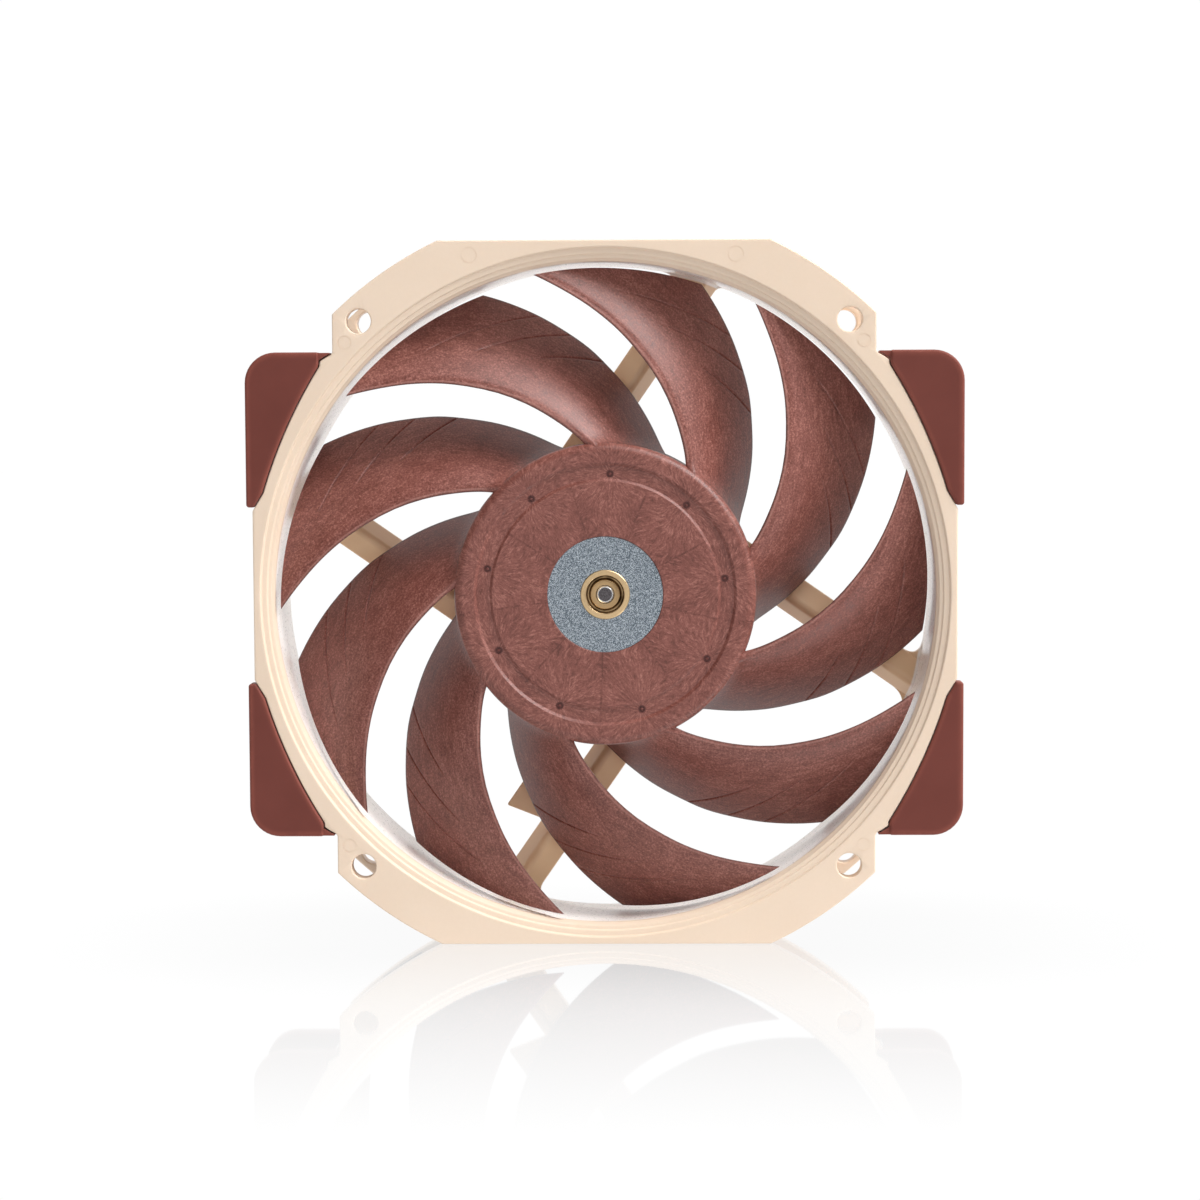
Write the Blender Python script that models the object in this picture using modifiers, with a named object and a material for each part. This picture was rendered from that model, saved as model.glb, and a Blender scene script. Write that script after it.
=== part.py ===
"""Round-frame axial case fan, 120 mm across and 25 mm deep, standing on its lower flat edge.

Every piece is drawn in the fan's own plan view: local X to the right, local Y up, local Z
towards the intake side. The empty "fan_plan" turns that plan upright, so in the world the
rotor axis lies along Y, the intake faces -Y and the fan stands on its flat at -Z.
Lengths are in millimetres and become metres where geometry is made. Depths are counted
from the intake face: 0 is the intake face, 25 the exhaust face.
"""

import math

import bmesh
import bpy
import numpy as np
from mathutils import Matrix, Vector

MM = 0.001

# ---- driving dimensions, millimetres and degrees ------------------------------------------
DEPTH = 25.0  # frame thickness
HALF = 60.0  # half the width and half the height
FLANGE = 4.0  # thickness of the intake and exhaust flanges
EAR_R = 66.3  # outer radius of the screw ears
EAR_X = 46.1  # half width over the screw ears
HOLE_X, HOLE_Y = 41.6, 46.5  # screw hole centres
HOLE_R = 2.1
BARREL_R = 58.0  # outside of the wind tunnel
BARREL_INSET = 1.5  # the barrel stops this short of both faces
BORE_R = 56.1  # inside of the wind tunnel
TIP_R = 55.5  # impeller tip
BLADES = 9
HUB_R = 25.7  # impeller hub, outside
HUB_FRONT = 0.7  # depth of the hub's face
HUB_REAR = 18.8  # depth of the hub skirt's end
STRUTS = 4
STRUT_ANGLE = 55.2  # direction of the first strut, from local X
STRUT_OFFSET = 17.4  # the struts run tangentially: distance of their centre line from the axis
STRUT_WIDTH = 6.5
STRUT_INNER_R, STRUT_OUTER_R = 24.55, 57.0  # struts end inside the base's rim and tunnel wall
BASE_R = 25.2  # motor base
SHAFT_R = 1.5
BEARING_BORE_R = 1.56
POLES = 4
SMOOTH_ANGLE = 35  # edges sharper than this stay sharp
CUT = 1.0  # how far the tunnel cutter runs past both faces

# Depth spans at the front corners; the rear ones mirror them.
TAB_SPAN = (1.9, 3.4)
PAD_SPAN = (-0.25, 4.55)
POCKET_SPAN = (1.6, 3.7)
CORNERS = {
    "upper_right": (1, 1),
    "upper_left": (-1, 1),
    "lower_left": (-1, -1),
    "lower_right": (1, -1),
}

X, Y, UP = Vector((1, 0, 0)), Vector((0, 1, 0)), Vector((0, 0, 1))

# ---- start from an empty scene ------------------------------------------------------------
for old in list(bpy.data.objects):
    bpy.data.objects.remove(old, do_unlink=True)

fan_parts = bpy.data.collections.new("case_fan")
cutters = bpy.data.collections.new("cutters")
bpy.context.scene.collection.children.link(fan_parts)
bpy.context.scene.collection.children.link(cutters)

fan_plan = bpy.data.objects.new("fan_plan", None)
fan_plan.rotation_euler = (math.radians(90), 0, 0)
fan_parts.objects.link(fan_plan)
rotor_axis = bpy.data.objects.new("rotor_axis", None)
rotor_axis.parent = fan_plan
fan_parts.objects.link(rotor_axis)


# ---- materials ----------------------------------------------------------------------------
def material(name, rgb, roughness, metallic=0.0):
    made = bpy.data.materials.new(name)
    made.use_nodes = True
    inputs = made.node_tree.nodes["Principled BSDF"].inputs
    inputs["Base Color"].default_value = (*rgb, 1)
    inputs["Roughness"].default_value = roughness
    inputs["Metallic"].default_value = metallic
    made.diffuse_color = (*rgb, 1)
    return made


def metal(name, rgb, roughness):
    return material(name, rgb, roughness, metallic=1.0)


BEIGE = material("frame_beige", rgb=(0.79, 0.64, 0.48), roughness=0.45)
BROWN = material("impeller_brown", rgb=(0.22, 0.095, 0.075), roughness=0.45)
PAD_RED = material("pad_rubber", rgb=(0.17, 0.045, 0.03), roughness=0.6)
STEEL = metal("steel", rgb=(0.45, 0.48, 0.52), roughness=0.45)
SHAFT_STEEL = metal("shaft_steel", rgb=(0.6, 0.6, 0.62), roughness=0.25)
BRASS = metal("brass", rgb=(0.72, 0.5, 0.2), roughness=0.3)
BRONZE = metal("bronze", rgb=(0.5, 0.33, 0.18), roughness=0.5)
FERRITE = material("ferrite", rgb=(0.04, 0.04, 0.045), roughness=0.7)
LAMINATION = metal("lamination", rgb=(0.3, 0.3, 0.32), roughness=0.5)
COPPER = metal("copper", rgb=(0.7, 0.3, 0.15), roughness=0.35)
NYLON = material("nylon", rgb=(0.75, 0.74, 0.7), roughness=0.5)
PCB_MASK = material("pcb_mask", rgb=(0.02, 0.16, 0.07), roughness=0.4)
CHIP = material("chip", rgb=(0.02, 0.02, 0.02), roughness=0.5)
CAN = metal("capacitor_can", rgb=(0.6, 0.6, 0.62), roughness=0.3)
LABEL = material("label", rgb=(0.25, 0.13, 0.1), roughness=0.5)
BLACK = material("black_plastic", rgb=(0.02, 0.02, 0.02), roughness=0.5)
SLEEVING = material("sleeving", rgb=(0.015, 0.015, 0.015), roughness=0.7)
TIN = metal("tin", rgb=(0.7, 0.68, 0.62), roughness=0.3)
WIRE_COLOURS = [
    material("wire_black", rgb=(0.02, 0.02, 0.02), roughness=0.4),
    material("wire_yellow", rgb=(0.7, 0.55, 0.05), roughness=0.4),
    material("wire_green", rgb=(0.05, 0.35, 0.1), roughness=0.4),
    material("wire_blue", rgb=(0.04, 0.12, 0.5), roughness=0.4),
]


# ---- points and outlines ------------------------------------------------------------------
def z_of(depth):
    """Local Z, in metres, of a depth counted from the intake face."""
    return (DEPTH / 2 - depth) * MM


def plan_point(x, y, depth):
    """A place in local metres from plan millimetres and a depth."""
    return Vector((x * MM, y * MM, z_of(depth)))


def direction(degrees):
    """The unit vector at an angle in the plan."""
    return Vector((math.cos(math.radians(degrees)), math.sin(math.radians(degrees)), 0))


def polar(radius, degrees, depth):
    angle = math.radians(degrees)
    return plan_point(radius * math.cos(angle), radius * math.sin(angle), depth)


def from_face(side, span):
    """A depth span counted from the front face, or mirrored to the rear face."""
    near, far = span
    return span if side == "front" else (DEPTH - far, DEPTH - near)


def circle(radius, count, centre_x=0.0, centre_y=0.0):
    return [
        (
            centre_x + radius * math.cos(math.tau * i / count),
            centre_y + radius * math.sin(math.tau * i / count),
        )
        for i in range(count)
    ]


def arc(radius, start, end, steps, centre_x=0.0, centre_y=0.0):
    """steps + 1 points on a circle from angle start to end, degrees."""
    angles = [math.radians(start + (end - start) * i / steps) for i in range(steps + 1)]
    return [
        (centre_x + radius * math.cos(angle), centre_y + radius * math.sin(angle))
        for angle in angles
    ]


def curve_through(first, middle, last, steps):
    """Points on the circle through three points, from the first to the last."""
    (ax, ay), (bx, by), (cx, cy) = first, middle, last
    a_sq, b_sq, c_sq = ax**2 + ay**2, bx**2 + by**2, cx**2 + cy**2
    twice_cross = 2 * (ax * (by - cy) + bx * (cy - ay) + cx * (ay - by))
    centre_x = (a_sq * (by - cy) + b_sq * (cy - ay) + c_sq * (ay - by)) / twice_cross
    centre_y = (a_sq * (cx - bx) + b_sq * (ax - cx) + c_sq * (bx - ax)) / twice_cross
    radius = math.dist((centre_x, centre_y), first)
    start = math.degrees(math.atan2(ay - centre_y, ax - centre_x))
    end = math.degrees(math.atan2(cy - centre_y, cx - centre_x))
    return arc(radius, start, end, steps, centre_x, centre_y)


def rounded_rectangle(half_width, half_height, corner_r, steps=2):
    x, y = half_width - corner_r, half_height - corner_r
    loop = []
    for corner_x, corner_y, start in ((x, y, 0), (-x, y, 90), (-x, -y, 180), (x, -y, 270)):
        loop += arc(corner_r, start, start + 90, steps, corner_x, corner_y)
    return loop


def mirrored(loop, signs):
    """An outline from the first quadrant, moved to the corner with these signs."""
    return [(signs[0] * x, signs[1] * y) for x, y in loop]


def four_ways(quadrant):
    """A closed outline from its first quadrant, mirrored in both axes."""
    second = mirrored(reversed(quadrant), (-1, 1))
    third = mirrored(quadrant, (-1, -1))
    fourth = mirrored(reversed(quadrant), (1, -1))
    loop = []
    for point in quadrant + second + third + fourth:
        if not loop or math.dist(point, loop[-1]) > 1e-6:
            loop.append(point)
    if math.dist(loop[0], loop[-1]) < 1e-6:
        loop.pop()
    return loop


# ---- shape helpers ------------------------------------------------------------------------
def paint(obj, mat):
    obj.data.materials.clear()
    obj.data.materials.append(mat)


def place(obj, mat=None, parent=fan_plan, cutter=False):
    (cutters if cutter else fan_parts).objects.link(obj)
    obj.parent = parent
    if cutter:
        obj.hide_render = True
        obj.display_type = "WIRE"
    elif mat is not None:
        paint(obj, mat)
    return obj


def turned(name, profile, steps, mat=None, parent=fan_plan, cutter=False):
    """A piece turned about the rotor axis from (radius, depth) points.

    A profile that starts and ends on the axis is solid there.
    """
    points = [(radius * MM, z_of(depth)) for radius, depth in profile]
    area = sum(a[0] * b[1] - b[0] * a[1] for a, b in zip(points, points[1:] + points[:1]))
    if area > 0:
        points.reverse()
    solid = min(point[0] for point in points) < 1e-9
    if solid:  # start the run at the axis, not in the middle of the outside
        while not (points[0][0] < 1e-9 and points[-1][0] < 1e-9):
            points.append(points.pop(0))
    edges = [(i, i + 1) for i in range(len(points) - 1)]
    if not solid:
        edges.append((len(points) - 1, 0))
    mesh = bpy.data.meshes.new(name)
    mesh.from_pydata([(x, 0, z) for x, z in points], edges, [])
    obj = place(bpy.data.objects.new(name, mesh), mat, parent, cutter)
    screw = obj.modifiers.new("turn", "SCREW")
    screw.axis = "Z"
    screw.angle = math.tau
    screw.steps = steps
    screw.render_steps = steps
    screw.use_merge_vertices = True
    screw.merge_threshold = 0.000001
    screw.use_smooth_shade = True
    return obj


def ring(name, inner, outer, near, far, steps, mat=None, parent=fan_plan, cutter=False):
    """A turned ring of rectangular section, or a disc where the inner radius is 0."""
    profile = [(inner, near), (outer, near), (outer, far), (inner, far)]
    return turned(name, profile, steps, mat, parent, cutter)


def as_mesh(obj):
    """The object with its modifiers applied, or a curve made a mesh, its caps welded."""
    bpy.context.view_layer.update()
    graph = bpy.context.evaluated_depsgraph_get()
    mesh = bpy.data.meshes.new_from_object(obj.evaluated_get(graph))
    bm = bmesh.new()
    bm.from_mesh(mesh)
    bmesh.ops.remove_doubles(bm, verts=bm.verts, dist=1e-7)
    bm.to_mesh(mesh)
    bm.free()
    made = bpy.data.objects.new(obj.name + "_mesh", mesh)
    for collection in obj.users_collection:
        collection.objects.link(made)
    made.parent = obj.parent
    made.matrix_local = obj.matrix_local
    made.hide_render = obj.hide_render
    made.display_type = obj.display_type
    name = obj.name
    bpy.data.objects.remove(obj, do_unlink=True)
    made.name = name
    return made


def shade(obj):
    """Round faces smooth, true edges sharp."""
    obj.data.shade_smooth()
    obj.data.set_sharp_from_angle(angle=math.radians(SMOOTH_ANGLE))


def finish(obj, mat):
    """Modifiers applied, one material, round faces shaded smooth."""
    obj = as_mesh(obj)
    paint(obj, mat)
    shade(obj)
    return obj


def plate(name, loops, near, far, mat=None, parent=fan_plan, cutter=False):
    """A flat piece between two depths: the first loop is its outline, the others its holes."""
    curve = bpy.data.curves.new(name, "CURVE")
    curve.dimensions = "2D"
    curve.fill_mode = "BOTH"
    curve.extrude = abs(far - near) / 2 * MM
    for loop in loops:
        spline = curve.splines.new("POLY")
        spline.points.add(len(loop) - 1)
        for point, (x, y) in zip(spline.points, loop):
            point.co = (x * MM, y * MM, 0, 1)
        spline.use_cyclic_u = True
    obj = bpy.data.objects.new(name, curve)
    obj.location = (0, 0, (z_of(near) + z_of(far)) / 2)
    obj = as_mesh(place(obj, parent=parent, cutter=cutter))
    if mat is not None:
        paint(obj, mat)
    return obj


def axes_matrix(axes, centre, scale=(1, 1, 1)):
    """The matrix whose columns are three scaled axes and a centre."""
    matrix = Matrix.Identity(4)
    for column, (axis, factor) in enumerate(zip(axes, scale)):
        for row in range(3):
            matrix[row][column] = axis[row] * factor
    matrix.translation = centre
    return matrix


def mesh_piece(name, bm, mat=None, parent=fan_plan, cutter=False):
    """An object from a bmesh, its normals turned outwards."""
    bmesh.ops.recalc_face_normals(bm, faces=bm.faces)
    mesh = bpy.data.meshes.new(name)
    bm.to_mesh(mesh)
    bm.free()
    return place(bpy.data.objects.new(name, mesh), mat, parent, cutter)


def skin(bm, first, last):
    """Side faces between two rings of vertices."""
    for i in range(len(first)):
        j = (i + 1) % len(first)
        bm.faces.new((first[i], first[j], last[j], last[i]))


def cap_ends(bm, first, last):
    bm.faces.new(last)
    bm.faces.new(list(reversed(first)))


def box(name, centre, size, axes=(X, Y, UP), mat=None, cutter=False):
    """A block along its own axes: centre in metres, size in millimetres."""
    bm = bmesh.new()
    bmesh.ops.create_cube(bm, size=1.0)
    matrix = axes_matrix(axes, centre, [length * MM for length in size])
    bmesh.ops.transform(bm, matrix=matrix, verts=bm.verts)
    return mesh_piece(name, bm, mat, cutter=cutter)


def rod(name, points, radius, mat, sides, cutter=False):
    """A wire or sleeve: a poly line in metres with a round bevel and filled caps."""
    curve = bpy.data.curves.new(name, "CURVE")
    curve.dimensions = "3D"
    curve.bevel_depth = radius * MM
    curve.bevel_resolution = sides // 2 - 2
    curve.use_fill_caps = True
    spline = curve.splines.new("POLY")
    spline.points.add(len(points) - 1)
    for spline_point, point in zip(spline.points, points):
        spline_point.co = (*point, 1)
    obj = place(bpy.data.objects.new(name, curve), cutter=cutter)
    return finish(obj, mat)


def boolean(obj, other, kind):
    modifier = obj.modifiers.new(kind.lower() + "_" + other.name, "BOOLEAN")
    modifier.operation = kind
    modifier.solver = "EXACT"
    modifier.object = other


# ---- frame: flanges and tunnel ------------------------------------------------------------
# Where a corner pad sits the flange is cut back to a shallow arc.
SEAT = curve_through((58.1, 17.5), (53.3, 29.9), (48.5, 38.6), 7)
ear_low = math.degrees(math.atan2(math.sqrt(EAR_R**2 - EAR_X**2), EAR_X))
ear_high = math.degrees(math.atan2(HALF, math.sqrt(EAR_R**2 - HALF**2)))
flange_outline = four_ways(
    [(HALF, 0.0), (HALF, 14.4), (59.7, 14.9)]
    + SEAT
    + [(47.6, 39.9), (EAR_X, 41.2)]
    + arc(EAR_R, ear_low, ear_high, 6)
)
screw_holes = [
    circle(HOLE_R, 20, sign_x * HOLE_X, sign_y * HOLE_Y)
    for sign_x in (1, -1)
    for sign_y in (1, -1)
]
flange_loops = [flange_outline] + screw_holes

frame = plate("frame", flange_loops, 0, FLANGE)
exhaust_flange = plate("exhaust_flange", flange_loops, DEPTH - FLANGE, DEPTH, cutter=True)
barrel = ring(
    "barrel", 0, BARREL_R, BARREL_INSET, DEPTH - BARREL_INSET, steps=72, cutter=True
)
boolean(frame, exhaust_flange, "UNION")
boolean(frame, barrel, "UNION")

# The tunnel's inside, with the stepped inlet: three treads going in from the intake face.
TUNNEL_PROFILE = [  # (radius, depth)
    (0, -CUT), (59.0, -CUT), (59.0, 0.45), (57.85, 0.6), (57.8, 1.15),
    (56.7, 1.3), (56.65, 1.95), (BORE_R, 2.3), (BORE_R, DEPTH + CUT), (0, DEPTH + CUT),
]
tunnel = turned("tunnel", TUNNEL_PROFILE, steps=72, cutter=True)
boolean(frame, tunnel, "DIFFERENCE")

# Thin tabs on both flanges carry the corner pads.
TAB = [  # (x, y), upper right corner
    (57.4, 15.8), (59.2, 17.6), (59.2, 37.2), (57.4, 39.4), (51.4, 39.4),
    (50.4, 38.4), (49.0, 35.0), (53.0, 27.0), (56.0, 19.0),
]
for side in ("front", "rear"):
    for k, signs in enumerate(CORNERS.values()):
        tab = plate(
            f"tab_{side}_{k}", [mirrored(TAB, signs)], *from_face(side, TAB_SPAN), cutter=True
        )
        boolean(frame, tab, "UNION")

# ---- frame: motor base and struts ---------------------------------------------------------
# A shallow cup for the circuit board, with a collar round the bearing shell.
BASE_PROFILE = [  # (radius, depth)
    (4.55, 19.6), (6.4, 19.6), (6.4, 23.2), (23.9, 23.2), (24.0, 20.0),
    (BASE_R, 20.1), (BASE_R, 24.65), (20.6, 24.65), (20.6, 24.1), (4.55, 24.1),
]
boolean(frame, turned("motor_base", BASE_PROFILE, steps=44, cutter=True), "UNION")

# A folded section, steep towards the axis and shallow outwards, with a channel behind.
STRUT_SECTION = [  # (across, depth, 1 on the channel's outer wall); across grows off the axis
    (-STRUT_WIDTH / 2, 23.0, 0),
    (-0.9, 19.0, 0),
    (STRUT_WIDTH / 2, 21.6, 0),
    (STRUT_WIDTH / 2, 24.6, 0),
    (2.3, 24.6, 1),
    (2.1, 21.9, 1),
    (-1.75, 21.9, 0),
    (-1.95, 24.6, 0),
    (-STRUT_WIDTH / 2, 24.6, 0),
]
CABLE_STRUT = 2
CABLE_SHIFT = 0.55  # the strut with the cable stands this much nearer the axis
CABLE_WIDENING = 0.5  # and its channel is this much wider


def strut_axes(k):
    """Unit vectors along a strut, outwards, and across it, away from the axis."""
    angle = math.radians(STRUT_ANGLE + 360 / STRUTS * k)
    along = Vector((math.cos(angle), math.sin(angle), 0))
    across = Vector((-math.sin(angle), math.cos(angle), 0))
    return along, across


def strut(k):
    """One strut as a bar from inside the motor base's rim to inside the tunnel wall."""
    nearer, wider = (CABLE_SHIFT, CABLE_WIDENING) if k == CABLE_STRUT else (0.0, 0.0)
    along, across = strut_axes(k)
    bm = bmesh.new()
    rings = []
    for end_r in (STRUT_INNER_R, STRUT_OUTER_R):
        end = []
        for offset, depth, on_wall in STRUT_SECTION:
            distance = STRUT_OFFSET + offset - nearer + wider * on_wall
            reach = math.sqrt(end_r**2 - distance**2)
            point = (across * distance + along * reach) * MM
            end.append(bm.verts.new((point.x, point.y, z_of(depth))))
        rings.append(end)
    skin(bm, *rings)
    cap_ends(bm, *rings)
    return mesh_piece(f"strut_{k}", bm, cutter=True)


for k in range(STRUTS):
    boolean(frame, strut(k), "UNION")

# ---- frame: cable guide and openings ------------------------------------------------------
CABLE_ALONG, CABLE_ACROSS = strut_axes(CABLE_STRUT)
CABLE_AXES = (CABLE_ALONG, CABLE_ACROSS, UP)
SLEEVE_LINE = STRUT_OFFSET + 0.15  # distance of the sleeve's line from the axis


def plan_on_strut(across, along):
    point = CABLE_ACROSS * across + CABLE_ALONG * along
    return (point.x, point.y)


def on_cable_strut(across, along, depth):
    return plan_point(*plan_on_strut(across, along), depth)


# Cable guide: a ledge on the axis side of that strut, for the lead to be wound round the base.
GUIDE = [(6.9, 31.0), (15.2, 28.6), (15.2, 39.3), (6.9, 41.25)]  # (across, along)
guide_loop = [plan_on_strut(across, along) for across, along in GUIDE]
boolean(frame, plate("cable_guide", [guide_loop], 20.6, 22.0, cutter=True), "UNION")

# A doorway in the base's rim, under the root of the strut, for the wires, and a notch in the
# tunnel wall for the sleeve.
OPENINGS = [  # name, (across, along, depth) of the centre, (along, across, depth) size
    ("wire_door", (STRUT_OFFSET, 18.6, 23.05), (6.4, 3.9, 1.9)),
    ("exit_notch", (SLEEVE_LINE, 56.5, 23.0), (9.0, 3.7, 6.0)),
]
for name, centre, size in OPENINGS:
    opening = box(name, on_cable_strut(*centre), size, CABLE_AXES, cutter=True)
    boolean(frame, opening, "DIFFERENCE")
finish(frame, BEIGE)

# ---- corner pads --------------------------------------------------------------------------
PAD_X, PAD_Y = 61.05, 41.3  # outer corner of a corner pad
PAD_CORNER_R = 4.0
PAD_GAP = 0.32  # between the flange's seat and the pad
GAP_ANGLES = [22, 24, 27, 29, 32, 35, 37, 39]  # direction of the gap at each seat point
pad_seat = [
    (x + PAD_GAP * math.cos(math.radians(angle)), y + PAD_GAP * math.sin(math.radians(angle)))
    for (x, y), angle in zip(SEAT, GAP_ANGLES)
]
PAD = (  # (x, y), upper right corner
    [(60.2, 15.05), (60.75, 15.15), (PAD_X, 15.6)]
    + arc(PAD_CORNER_R, 0, 90, 4, PAD_X - PAD_CORNER_R, PAD_Y - PAD_CORNER_R)
    + [(49.4, PAD_Y), (48.6, 41.0), (48.35, 40.3)]
    + list(reversed(pad_seat))
    + [(59.75, 15.4)]
)
POCKET = [  # (x, y), the room for the tab inside the pad
    (56.9, 15.4), (58.6, 16.2), (59.55, 17.4), (59.55, 37.4), (57.6, 39.8),
    (51.2, 39.8), (50.0, 38.7), (48.0, 34.6), (52.6, 26.8), (55.6, 18.8),
]
for side in ("front", "rear"):
    for where, signs in CORNERS.items():
        pad = plate(f"pad_{side}_{where}", [mirrored(PAD, signs)], *from_face(side, PAD_SPAN))
        pocket = plate(
            f"pocket_{side}_{where}",
            [mirrored(POCKET, signs)],
            *from_face(side, POCKET_SPAN),
            cutter=True,
        )
        boolean(pad, pocket, "DIFFERENCE")
        finish(pad, PAD_RED)

# ---- impeller -----------------------------------------------------------------------------
# Blade edges seen from the intake: radius, leading edge and trailing edge angle in degrees.
BLADE_EDGES = [
    (24.9, 16.4, -14.4),
    (27.3, 20.4, -9.2),
    (31.1, 26.7, -2.4),
    (35.0, 32.6, 3.9),
    (38.5, 37.8, 9.3),
    (42.0, 43.1, 14.1),
    (45.5, 48.2, 19.2),
    (49.0, 53.4, 24.0),
    (52.5, 58.6, 28.8),
    (TIP_R, 62.8, 32.9),
]
EDGE_RADII, LEAD_ANGLES, TRAIL_ANGLES = zip(*BLADE_EDGES)
ROOT_R = EDGE_RADII[0]
SPANS = 7  # spans between stations from root to tip
CHORD_STEPS = [0.0, 0.03, 0.14, 0.34, 0.58, 0.8, 0.96, 1.0]

# Values at the root and at the tip.
LEAD_DEPTH = (2.0, 1.5)
TRAIL_DEPTH = (15.6, 16.5)
BOW = (0.55, 0.65)  # 1 is a straight blade; less turns it steeper towards the trailing edge
THICKNESS = (1.05, 0.75)  # scale of the half thickness
# Half thickness along the chord: a hump, plus an even part that grows from the leading edge.
HUMP, HUMP_POWER = 1.35, 0.85
EVEN, EVEN_GROWTH = 0.30, 14


def root_to_tip(pair, fraction):
    return pair[0] + (pair[1] - pair[0]) * fraction


def blade_point(radius, s, side):
    """A point of the blade's skin.

    s runs from leading to trailing edge, side is +1 on the intake face and -1 behind.
    """
    lead = np.interp(radius, EDGE_RADII, LEAD_ANGLES)
    trail = np.interp(radius, EDGE_RADII, TRAIL_ANGLES)
    fraction = (radius - ROOT_R) / (TIP_R - ROOT_R)
    lead_depth = root_to_tip(LEAD_DEPTH, fraction)
    rise = root_to_tip(TRAIL_DEPTH, fraction) - lead_depth
    bow = root_to_tip(BOW, fraction)
    chord = radius * math.radians(trail - lead)  # negative: the blade trails clockwise
    around = radius * math.radians(lead) + chord * s
    depth = lead_depth + rise * (bow * s + (1 - bow) * s * s)
    slope = rise * (bow + 2 * (1 - bow) * s)
    length = math.hypot(chord, slope)
    hump = HUMP * math.sqrt(s) * (1 - s) ** HUMP_POWER
    even = EVEN * min(1.0, EVEN_GROWTH * s) if s < 1.0 else 0.0  # closed at the trailing edge
    thick = root_to_tip(THICKNESS, fraction) * (hump + even)
    # move along the normal towards the intake, in the unrolled (circumference, depth) plane
    around -= slope / length * thick * side
    depth += chord / length * thick * side
    angle = around / radius
    return plan_point(radius * math.cos(angle), radius * math.sin(angle), depth)


def blade(k):
    bm = bmesh.new()
    rings = []
    for i in range(SPANS + 1):
        radius = ROOT_R + (TIP_R - ROOT_R) * i / SPANS
        loop = [blade_point(radius, s, 1) for s in CHORD_STEPS]
        loop += [blade_point(radius, s, -1) for s in reversed(CHORD_STEPS[1:-1])]
        rings.append([bm.verts.new(point) for point in loop])
    for inner, outer in zip(rings, rings[1:]):
        skin(bm, inner, outer)
    cap_ends(bm, rings[0], rings[-1])
    turn = Matrix.Rotation(math.tau * k / BLADES, 4, "Z")
    bmesh.ops.transform(bm, matrix=turn, verts=bm.verts)
    bmesh.ops.triangulate(bm, faces=bm.faces)
    return mesh_piece(f"blade_{k}", bm, parent=rotor_axis, cutter=True)


HUB_PROFILE = [  # (radius, depth)
    (9.95, HUB_FRONT + 0.1), (19.3, HUB_FRONT + 0.1), (19.5, HUB_FRONT + 0.4),
    (21.7, HUB_FRONT + 0.4), (21.9, HUB_FRONT), (24.8, HUB_FRONT),
    (HUB_R, HUB_FRONT + 0.9), (HUB_R, HUB_REAR), (24.2, HUB_REAR), (24.2, 2.6), (9.95, 2.6),
]
impeller = turned("impeller", HUB_PROFILE, steps=63, parent=rotor_axis)
for k in range(BLADES):
    boolean(impeller, blade(k), "UNION")
finish(impeller, BROWN)

# ---- rest of the rotor; profiles are (radius, depth) --------------------------------------
# The hub's steel reinforcement: a cup whose raised centre shows through the hub.
YOKE_PROFILE = [
    (4.5, 1.2), (9.6, 1.2), (9.6, 2.9), (23.2, 2.9), (23.9, 3.6),
    (23.9, 18.0), (22.9, 18.0), (22.9, 4.0), (4.5, 4.0),
]
turned("rotor_yoke", YOKE_PROFILE, steps=36, mat=STEEL, parent=rotor_axis)

# Brass hub that ties the shaft to the yoke; its face has a turned channel.
BUSHING_PROFILE = [
    (1.8, 1.5), (2.55, 1.5), (2.75, 2.3), (3.15, 2.3), (3.3, 0.95), (4.0, 0.9), (4.2, 1.15),
    (4.2, 4.3), (5.6, 4.3), (5.6, 5.6), (3.4, 5.6), (3.4, 7.0), (1.8, 7.0),
]
turned("hub_bushing", BUSHING_PROFILE, steps=24, mat=BRASS, parent=rotor_axis)

# Shaft, with a groove near its rear end.
SHAFT_PROFILE = [
    (0, 1.3), (1.25, 1.3), (SHAFT_R, 1.55), (SHAFT_R, 21.1), (1.0, 21.1),
    (1.0, 21.75), (SHAFT_R, 21.75), (1.3, 22.3), (0.7, 22.7), (0, 22.8),
]
turned("shaft", SHAFT_PROFILE, steps=24, mat=SHAFT_STEEL, parent=rotor_axis)

ring("magnet_ring", 20.7, 22.6, 5.0, 17.6, steps=36, mat=FERRITE, parent=rotor_axis)

# Split retaining ring in the shaft's groove.
clip_loop = arc(2.45, 25, 335, 12) + list(reversed(arc(1.25, 30, 330, 12)))
shade(plate("retaining_clip", [clip_loop], 21.25, 21.6, SHAFT_STEEL, rotor_axis))

# ---- bearing ------------------------------------------------------------------------------
# A tube closed at its rear end.
SHELL_PROFILE = [  # (radius, depth)
    (3.2, 8.0), (4.2, 8.0), (4.2, 23.9), (0, 23.9), (0, 23.5), (3.2, 23.5),
]
INSERT_R = 2.9  # outside of the pieces held in the shell
turned("bearing_shell", SHELL_PROFILE, steps=24, mat=BRASS)
ring("bearing_sleeve", BEARING_BORE_R, INSERT_R, 9.2, 18.5, steps=24, mat=BRONZE)
ring("oil_seal_ring", 1.75, INSERT_R, 8.3, 8.9, steps=24, mat=BLACK)
ring("bias_magnet", 1.9, INSERT_R, 18.8, 20.6, steps=24, mat=FERRITE)
ring("thrust_disc", 0, 2.8, 22.95, 23.25, steps=24, mat=NYLON)


# ---- stator -------------------------------------------------------------------------------
def turn_point(point, degrees):
    x, y = point
    cosine, sine = math.cos(math.radians(degrees)), math.sin(math.radians(degrees))
    return (x * cosine - y * sine, x * sine + y * cosine)


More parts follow.
